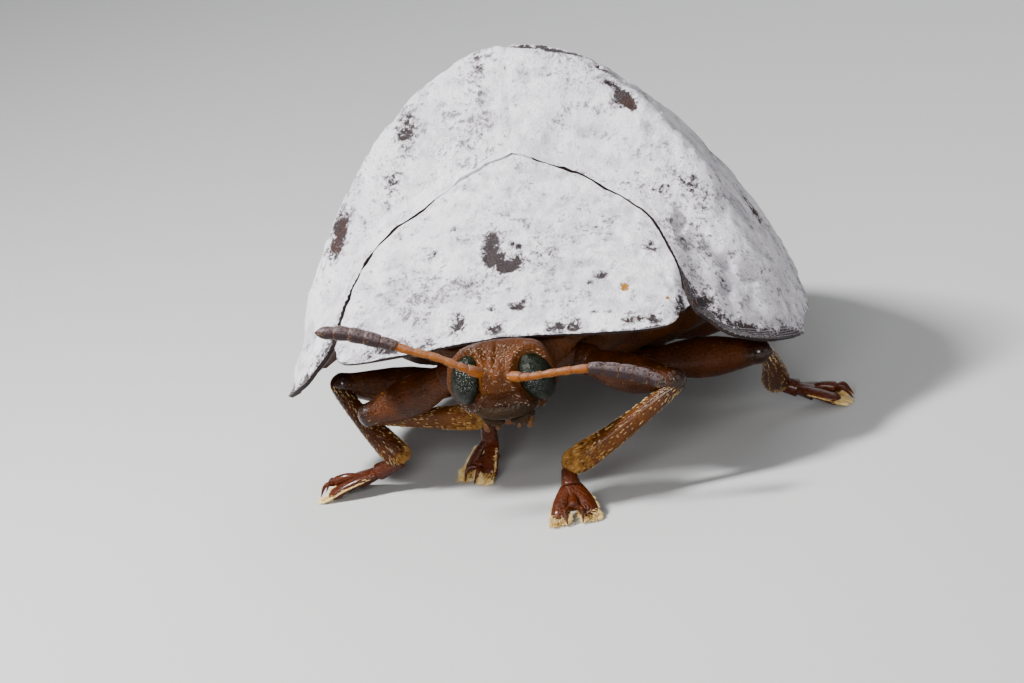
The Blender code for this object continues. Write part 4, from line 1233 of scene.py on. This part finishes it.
# %% Feet
UP = np.array([0.0, 0.0, 1.0])
LOBE_WIDTH, LOBE_FLATNESS = 0.27, 0.62
foot_horn = horn_finish("horn_feet", (0.022, 0.0045, 0.0006), (0.075, 0.012, 0.001),
                        0.2, 0.35, 0.06)
lobes = {}
for name, joints in LEGS.items():
    _, knee, ankle, toe = (np.array(point) for point in joints)
    way = unit((toe - ankle) * (1.0, 1.0, 0.0))
    side = np.array([-way[1], way[0], 0.0])
    heel = ankle + unit(ankle - knee) * 0.1
    reach = toe - way * 0.62 + UP * 0.3 - heel
    middle, front = heel + 0.45 * reach, heel + 0.8 * reach
    knuckle = toe - way * 0.1 + UP * 0.40
    grids, lobes[name] = [], []
    t = dense_ends(30)
    for a, b, wide, thick in ((heel, middle, 0.30, 0.26), (middle, front, 0.37, 0.24)):
        path = a + (b + unit(b - a) * 0.12 - a) * t[:, None]
        grids.append(tube(path, t, wide * (0.62 + 0.42 * t), thick * (0.75 + 0.3 * t),
                          (0.14, 0.12), UP, 22))
    t = dense_ends(34)
    width = LOBE_WIDTH * (0.70 + 0.42 * t)
    for out in (-side, side):
        a = middle - way * 0.05 + out * 0.10
        b = toe + out * 0.46 - way * 0.04 + UP * 0.12
        path = along_path([a, 0.5 * (a + b) + out * 0.04 + UP * 0.06, b], t)
        lobe = tube(path, t, width, LOBE_FLATNESS * width, (0.12, 0.2), UP, 22)
        lobe[..., 2] = np.maximum(lobe[..., 2], 0.05)
        grids.append(lobe)
        lobes[name].append((path, way, out))
    t = dense_ends(26)
    path = along_path([front + UP * 0.1, 0.5 * (front + knuckle) + UP * 0.12, knuckle], t)
    grids.append(tube(path, t, 0.10 + 0.09 * t, 0.10 + 0.09 * t, (0.1, 0.16), UP, 18))
    t = dense_ends(30)
    width = np.maximum(0.085 * (1.0 - 0.9 * t ** 1.5) * round_ends(t, 0.12, 0.06), 0.01)
    for out in (-side, side):
        bend = knuckle + way * 0.2 + out * 0.24 + UP * 0.02
        tip = toe + way * 0.34 + out * 0.22 + UP * 0.05
        path = along_path([knuckle - way * 0.06 + out * 0.05, bend, tip], t)
        grids.append(loft(path, width, width, UP, 14))
    points, faces = join(grids)
    piece = add_piece(name + "_foot", points, faces, [foot_horn], "foot_pad",
                      {"sole": smooth_step((0.10 - points[:, 2]) / 0.04)})
    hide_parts(name + "_tarsus")
print("feet:", len(lobes))

# %% [markdown]
# ## Hairs
# Bristles and down are real little bodies here: three-sided blades that taper to a point and
# bend over. All hairs of one kind form one mesh, worked out as arrays. Each gets a patch of
# the map OFBake about three thousandths wide, at its root's place on an unwrap of the skin
# that it grows from: around the tube in one direction, along it in the other.

# %% Hairs as one mesh
PATCH = 0.0015
BAKE_CELLS = 6
picker = np.random.default_rng(7)


def add_hairs(name, roots, ways, lean, lengths, thick, place, finish, slot):
    """Blades with rings at 0 and 0.55 of the length and a tip.

    A point at share t stands at root + way length t + lean length t squared, and the ring
    there has the radius thick (1 - 0.5 t).
    """
    count = len(roots)
    lengths = np.broadcast_to(lengths, count)[:, None]
    thick = np.broadcast_to(thick, count)[:, None, None]
    side = unit(np.cross(ways, np.array([0.31, 0.47, 0.83])))
    rise = np.cross(side, ways)
    turn = np.radians([0.0, 120.0, 240.0])[None, :, None]
    ring = np.cos(turn) * side[:, None] + np.sin(turn) * rise[:, None]
    levels = []
    for t in (0.0, 0.55):
        centre = roots + ways * lengths * t + lean * lengths * t * t
        levels.append(centre[:, None] + ring * thick * (1.0 - 0.5 * t))
    tip = (roots + ways * lengths + lean * lengths)[:, None]
    points = np.concatenate(levels + [tip], axis=1).reshape(-1, 3)
    corners = np.array([[0, 1, 4], [0, 4, 3], [1, 2, 5], [1, 5, 4], [2, 0, 3], [2, 3, 5],
                        [3, 4, 6], [4, 5, 6], [5, 3, 6], [2, 1, 0]])
    faces = (corners[None] + 7 * np.arange(count)[:, None, None]).reshape(-1, 3)
    piece = add_piece(name, points, faces, [finish], slot, sharp=180.0)
    spot = np.concatenate([np.cos(turn[0]), np.sin(turn[0])], 1) * PATCH
    local = np.concatenate([spot, 0.5 * spot, [[0.0, 0.0]]])
    flat = (place[:, None] + local[None]).reshape(-1, 2)
    layer = piece.data.uv_layers.new(name="OFBake")
    layer.data.foreach_set("uv", flat[faces.ravel()].astype(np.float32).ravel())
    print(name + ":", count, "hairs,", len(faces), "triangles")


def map_place(cell, around, along):
    """Shares from 0 to 1 around and along, as places in a cell of the map."""
    column, row = cell % BAKE_CELLS, cell // BAKE_CELLS
    return np.stack([(column + 0.05 + 0.9 * around) / BAKE_CELLS,
                     (row + 0.05 + 0.9 * along) / BAKE_CELLS], 1)


def tube_roots(grid, count, low, high, cell, turn_low=0.0, turn_high=1.0, lines=0, fade=1.0):
    """Random places on a ring grid: points, outward and forward directions, and the map.

    A place is low + (high - low) random^fade along and turn_low + (turn_high - turn_low)
    random around. With lines, each place around moves to the nearest line's neighbourhood.
    """
    rows, cols = grid.shape[:2]
    along = low + (high - low) * picker.random(count) ** fade
    around = turn_low + (turn_high - turn_low) * picker.random(count)
    if lines:
        around = (np.floor(around * lines) + 0.5 + 0.12 * picker.normal(size=count)) / lines % 1.0
    r = np.clip((along * (rows - 1)).astype(int), 0, rows - 2)
    c = (around * cols).astype(int) % cols
    middle = grid.mean(axis=1)
    points = grid[r, c] + (grid[r, (c + 1) % cols] - grid[r, c]) * picker.random((count, 1))
    outward = unit(points - middle[r])
    forward = unit(middle[r + 1] - middle[r])
    return points - outward * 0.01, outward, forward, map_place(cell, around, along)


def hair_finish(name, low, high, roughness=0.45):
    """Hair between two tones, mixed by noise a quarter of a millimetre wide."""
    made = Finish(name, {"Specular IOR Level": 0.35})
    tone = made.mix(made.between(made.grain(0.25, 1.0), 0.35, 0.65), low, high)
    return made.wear({"Base Color": tone, "Roughness": roughness})


gold_hair = hair_finish("hair_gold", (0.20, 0.075, 0.007), (0.38, 0.18, 0.032))
pale_hair = hair_finish("hair_pale", (0.38, 0.23, 0.07), (0.66, 0.47, 0.22))
cream_hair = hair_finish("hair_cream", (0.66, 0.40, 0.10), (0.92, 0.73, 0.36), 0.7)
silver_hair = hair_finish("hair_silver", (0.50, 0.38, 0.24), (0.85, 0.76, 0.62))

# %% [markdown]
# Shins carry rows of pale bristles that point to the foot, and a dense golden brush on the
# inner side of their wide end. Thighs have only a few. Feelers are covered in short down.

# %% Hairs of legs and feelers
def coat(name, batches, lift, droop, length, thick, finish, slot, lines=0, fade=1.0):
    """One mesh of hairs on several tubes, each batch being what tube_roots asks for.

    A hair starts along forward + lift outward and bends back by droop outward. Its length
    lies between the first of the two numbers and their sum.
    """
    parts = []
    for batch in batches:
        roots, outward, forward, place = tube_roots(*batch, lines=lines, fade=fade)
        parts.append((roots, unit(forward + lift * outward), -droop * outward, place))
    roots, ways, lean, place = (np.concatenate(part) for part in zip(*parts))
    lengths = length[0] + length[1] * picker.random(len(roots))
    add_hairs(name, roots, ways, lean, lengths, thick, place, finish, slot)


bristles = [(shin, 420, 0.10, 0.93, k) for k, shin in enumerate(shins.values())]
coat("shin_bristles", bristles, 0.55, 0.12, (0.09, 0.05), 0.012, pale_hair, "amber_cuticle",
     lines=15)
brushes = []
for k, (name, shin) in enumerate(shins.items()):
    inner = 0.45 if name.endswith("left") else 0.05
    low, count = (0.62, 1700) if name.startswith("front") else (0.80, 500)
    brushes.append((shin, count, low, 0.98, 6 + k, inner, inner + 0.5))
coat("shin_brushes", brushes, 0.4, 0.1, (0.10, 0.08), 0.011, gold_hair, "amber_cuticle",
     fade=0.55)
few = [(thigh, 28, 0.25, 0.85, 12 + k) for k, thigh in enumerate(thighs.values())]
coat("thigh_hairs", few, 0.45, 0.15, (0.10, 0.06), 0.008, gold_hair, "amber_cuticle")
down = [(feeler, 800, 0.02, 0.55, 18 + k) for k, feeler in enumerate(feelers.values())]
coat("feeler_down", down, 0.4, 0.1, (0.05, 0.05), 0.005, gold_hair, "antenna")
down = [(feeler, 700, 0.55, 0.98, 18 + k) for k, feeler in enumerate(feelers.values())]
coat("club_down", down, 0.3, 0.1, (0.04, 0.03), 0.0035, pale_hair, "antenna")

# %% [markdown]
# The soles of the lobed foot joint are brushes of cream hairs. Most stand out in front and at
# the sides of each lobe as a fringe, the others grow from its lower side.

# %% Brush soles
FRINGE_HAIRS, UNDER_HAIRS = 560, 340
batches = []
for k, pair in enumerate(lobes.values()):
    for path, way, out in pair:
        share = 0.25 + 0.75 * np.sqrt(picker.random(FRINGE_HAIRS))
        spin = picker.random(FRINGE_HAIRS) * np.pi - np.pi / 2
        spin = np.where(share < 0.66, np.sign(spin) * (1.15 + 0.25 * np.abs(spin)), spin)
        width = LOBE_WIDTH * np.sqrt(np.maximum(1 - ((share - 0.6) / 0.62) ** 2, 0.05))
        roots = path[(share * (len(path) - 1)).astype(int)]
        roots = roots + out * (width * np.sin(spin))[:, None]
        roots = roots + way * (0.10 * np.cos(spin))[:, None]
        roots[:, 2] = np.maximum(roots[:, 2] - 0.06, 0.04)
        ways = unit(way * 0.9 + out * (0.75 * np.sin(spin))[:, None] - UP * 0.06
                    + 0.17 * picker.normal(size=(FRINGE_HAIRS, 3)))
        reach = np.where(share < 0.66, 0.3, 0.45 + 0.55 * np.cos(spin))
        batches.append((roots, ways, map_place(20 + k, spin / np.pi + 0.5, share), reach))
        across = 2.0 * picker.random(UNDER_HAIRS) - 1.0
        share = 0.3 + 0.66 * picker.random(UNDER_HAIRS)
        width = 0.25 * (0.70 + 0.42 * share)
        roots = path[(share * (len(path) - 1)).astype(int)] + out * (width * across)[:, None]
        roots[:, 2] -= LOBE_FLATNESS * width * np.sqrt(1.0 - across ** 2) - 0.01
        roots[:, 2] = np.maximum(roots[:, 2], 0.055)
        ways = unit(way + out * (0.6 * across)[:, None] - UP * 0.3
                    + 0.15 * picker.normal(size=(UNDER_HAIRS, 3)))
        place = map_place(20 + k, 0.5 + 0.4 / 0.9 * across, share)
        batches.append((roots, ways, place, np.full(UNDER_HAIRS, 0.45)))
roots, ways, place, reach = (np.concatenate(part) for part in zip(*batches))
ways[:, 2] = np.maximum(ways[:, 2], -1.5 * roots[:, 2])
lengths = (0.09 + 0.25 * picker.random(len(roots))) * reach + 0.05
tips = roots + ways * lengths[:, None]
ways[:, 2] += np.maximum(0.02 - tips[:, 2], 0.0) / lengths
add_hairs("sole_brushes", roots, ways, 0.0 * ways, lengths, 0.010, place, cream_hair, "foot_pad")

# %% [markdown]
# The face has short silvery hairs around the eyes and on the brow, all combed towards the
# middle. They are sampled on the head's own grid, on its front only.

# %% Hairs of the face
rows, cols = head.shape[:2]
front = np.argwhere((facing[:-1] > 0.8) & (np.abs(head[:-1, :, 0] - 0.1) < 1.45))
chosen = front[picker.integers(0, len(front), 900)]
roots = head[chosen[:, 0], chosen[:, 1]]
roots = roots + 0.02 * picker.normal(size=roots.shape)
away = np.min([eye_share(roots, *eye) for eye in EYES.values()], axis=0)
near_rim = np.exp(-((away - 1.25) / 0.3) ** 2) + np.exp(-((roots[:, 0] - 0.1) / 0.35) ** 2)
keep = (away > 1.02) & (picker.random(len(roots)) < 0.15 + 0.75 * near_rim)
roots, chosen = roots[keep], chosen[keep]
outward = unit((roots - HEAD_CENTRE) / HEAD_HALF ** 2)
inward = unit(np.array([0.1, -9.5, 4.5]) - roots)
ways = unit(outward + 0.9 * inward + 0.35 * picker.normal(size=roots.shape))
place = np.stack([(0.5 + 5 * chosen[:, 1] / cols) / BAKE_CELLS,
                  0.72 + 0.26 * chosen[:, 0] / rows], 1)
lengths = 0.07 + 0.08 * picker.random(len(roots))
add_hairs("face_hairs", roots, ways, -0.2 * outward, lengths, 0.0048, place, silver_hair,
          "amber_cuticle")
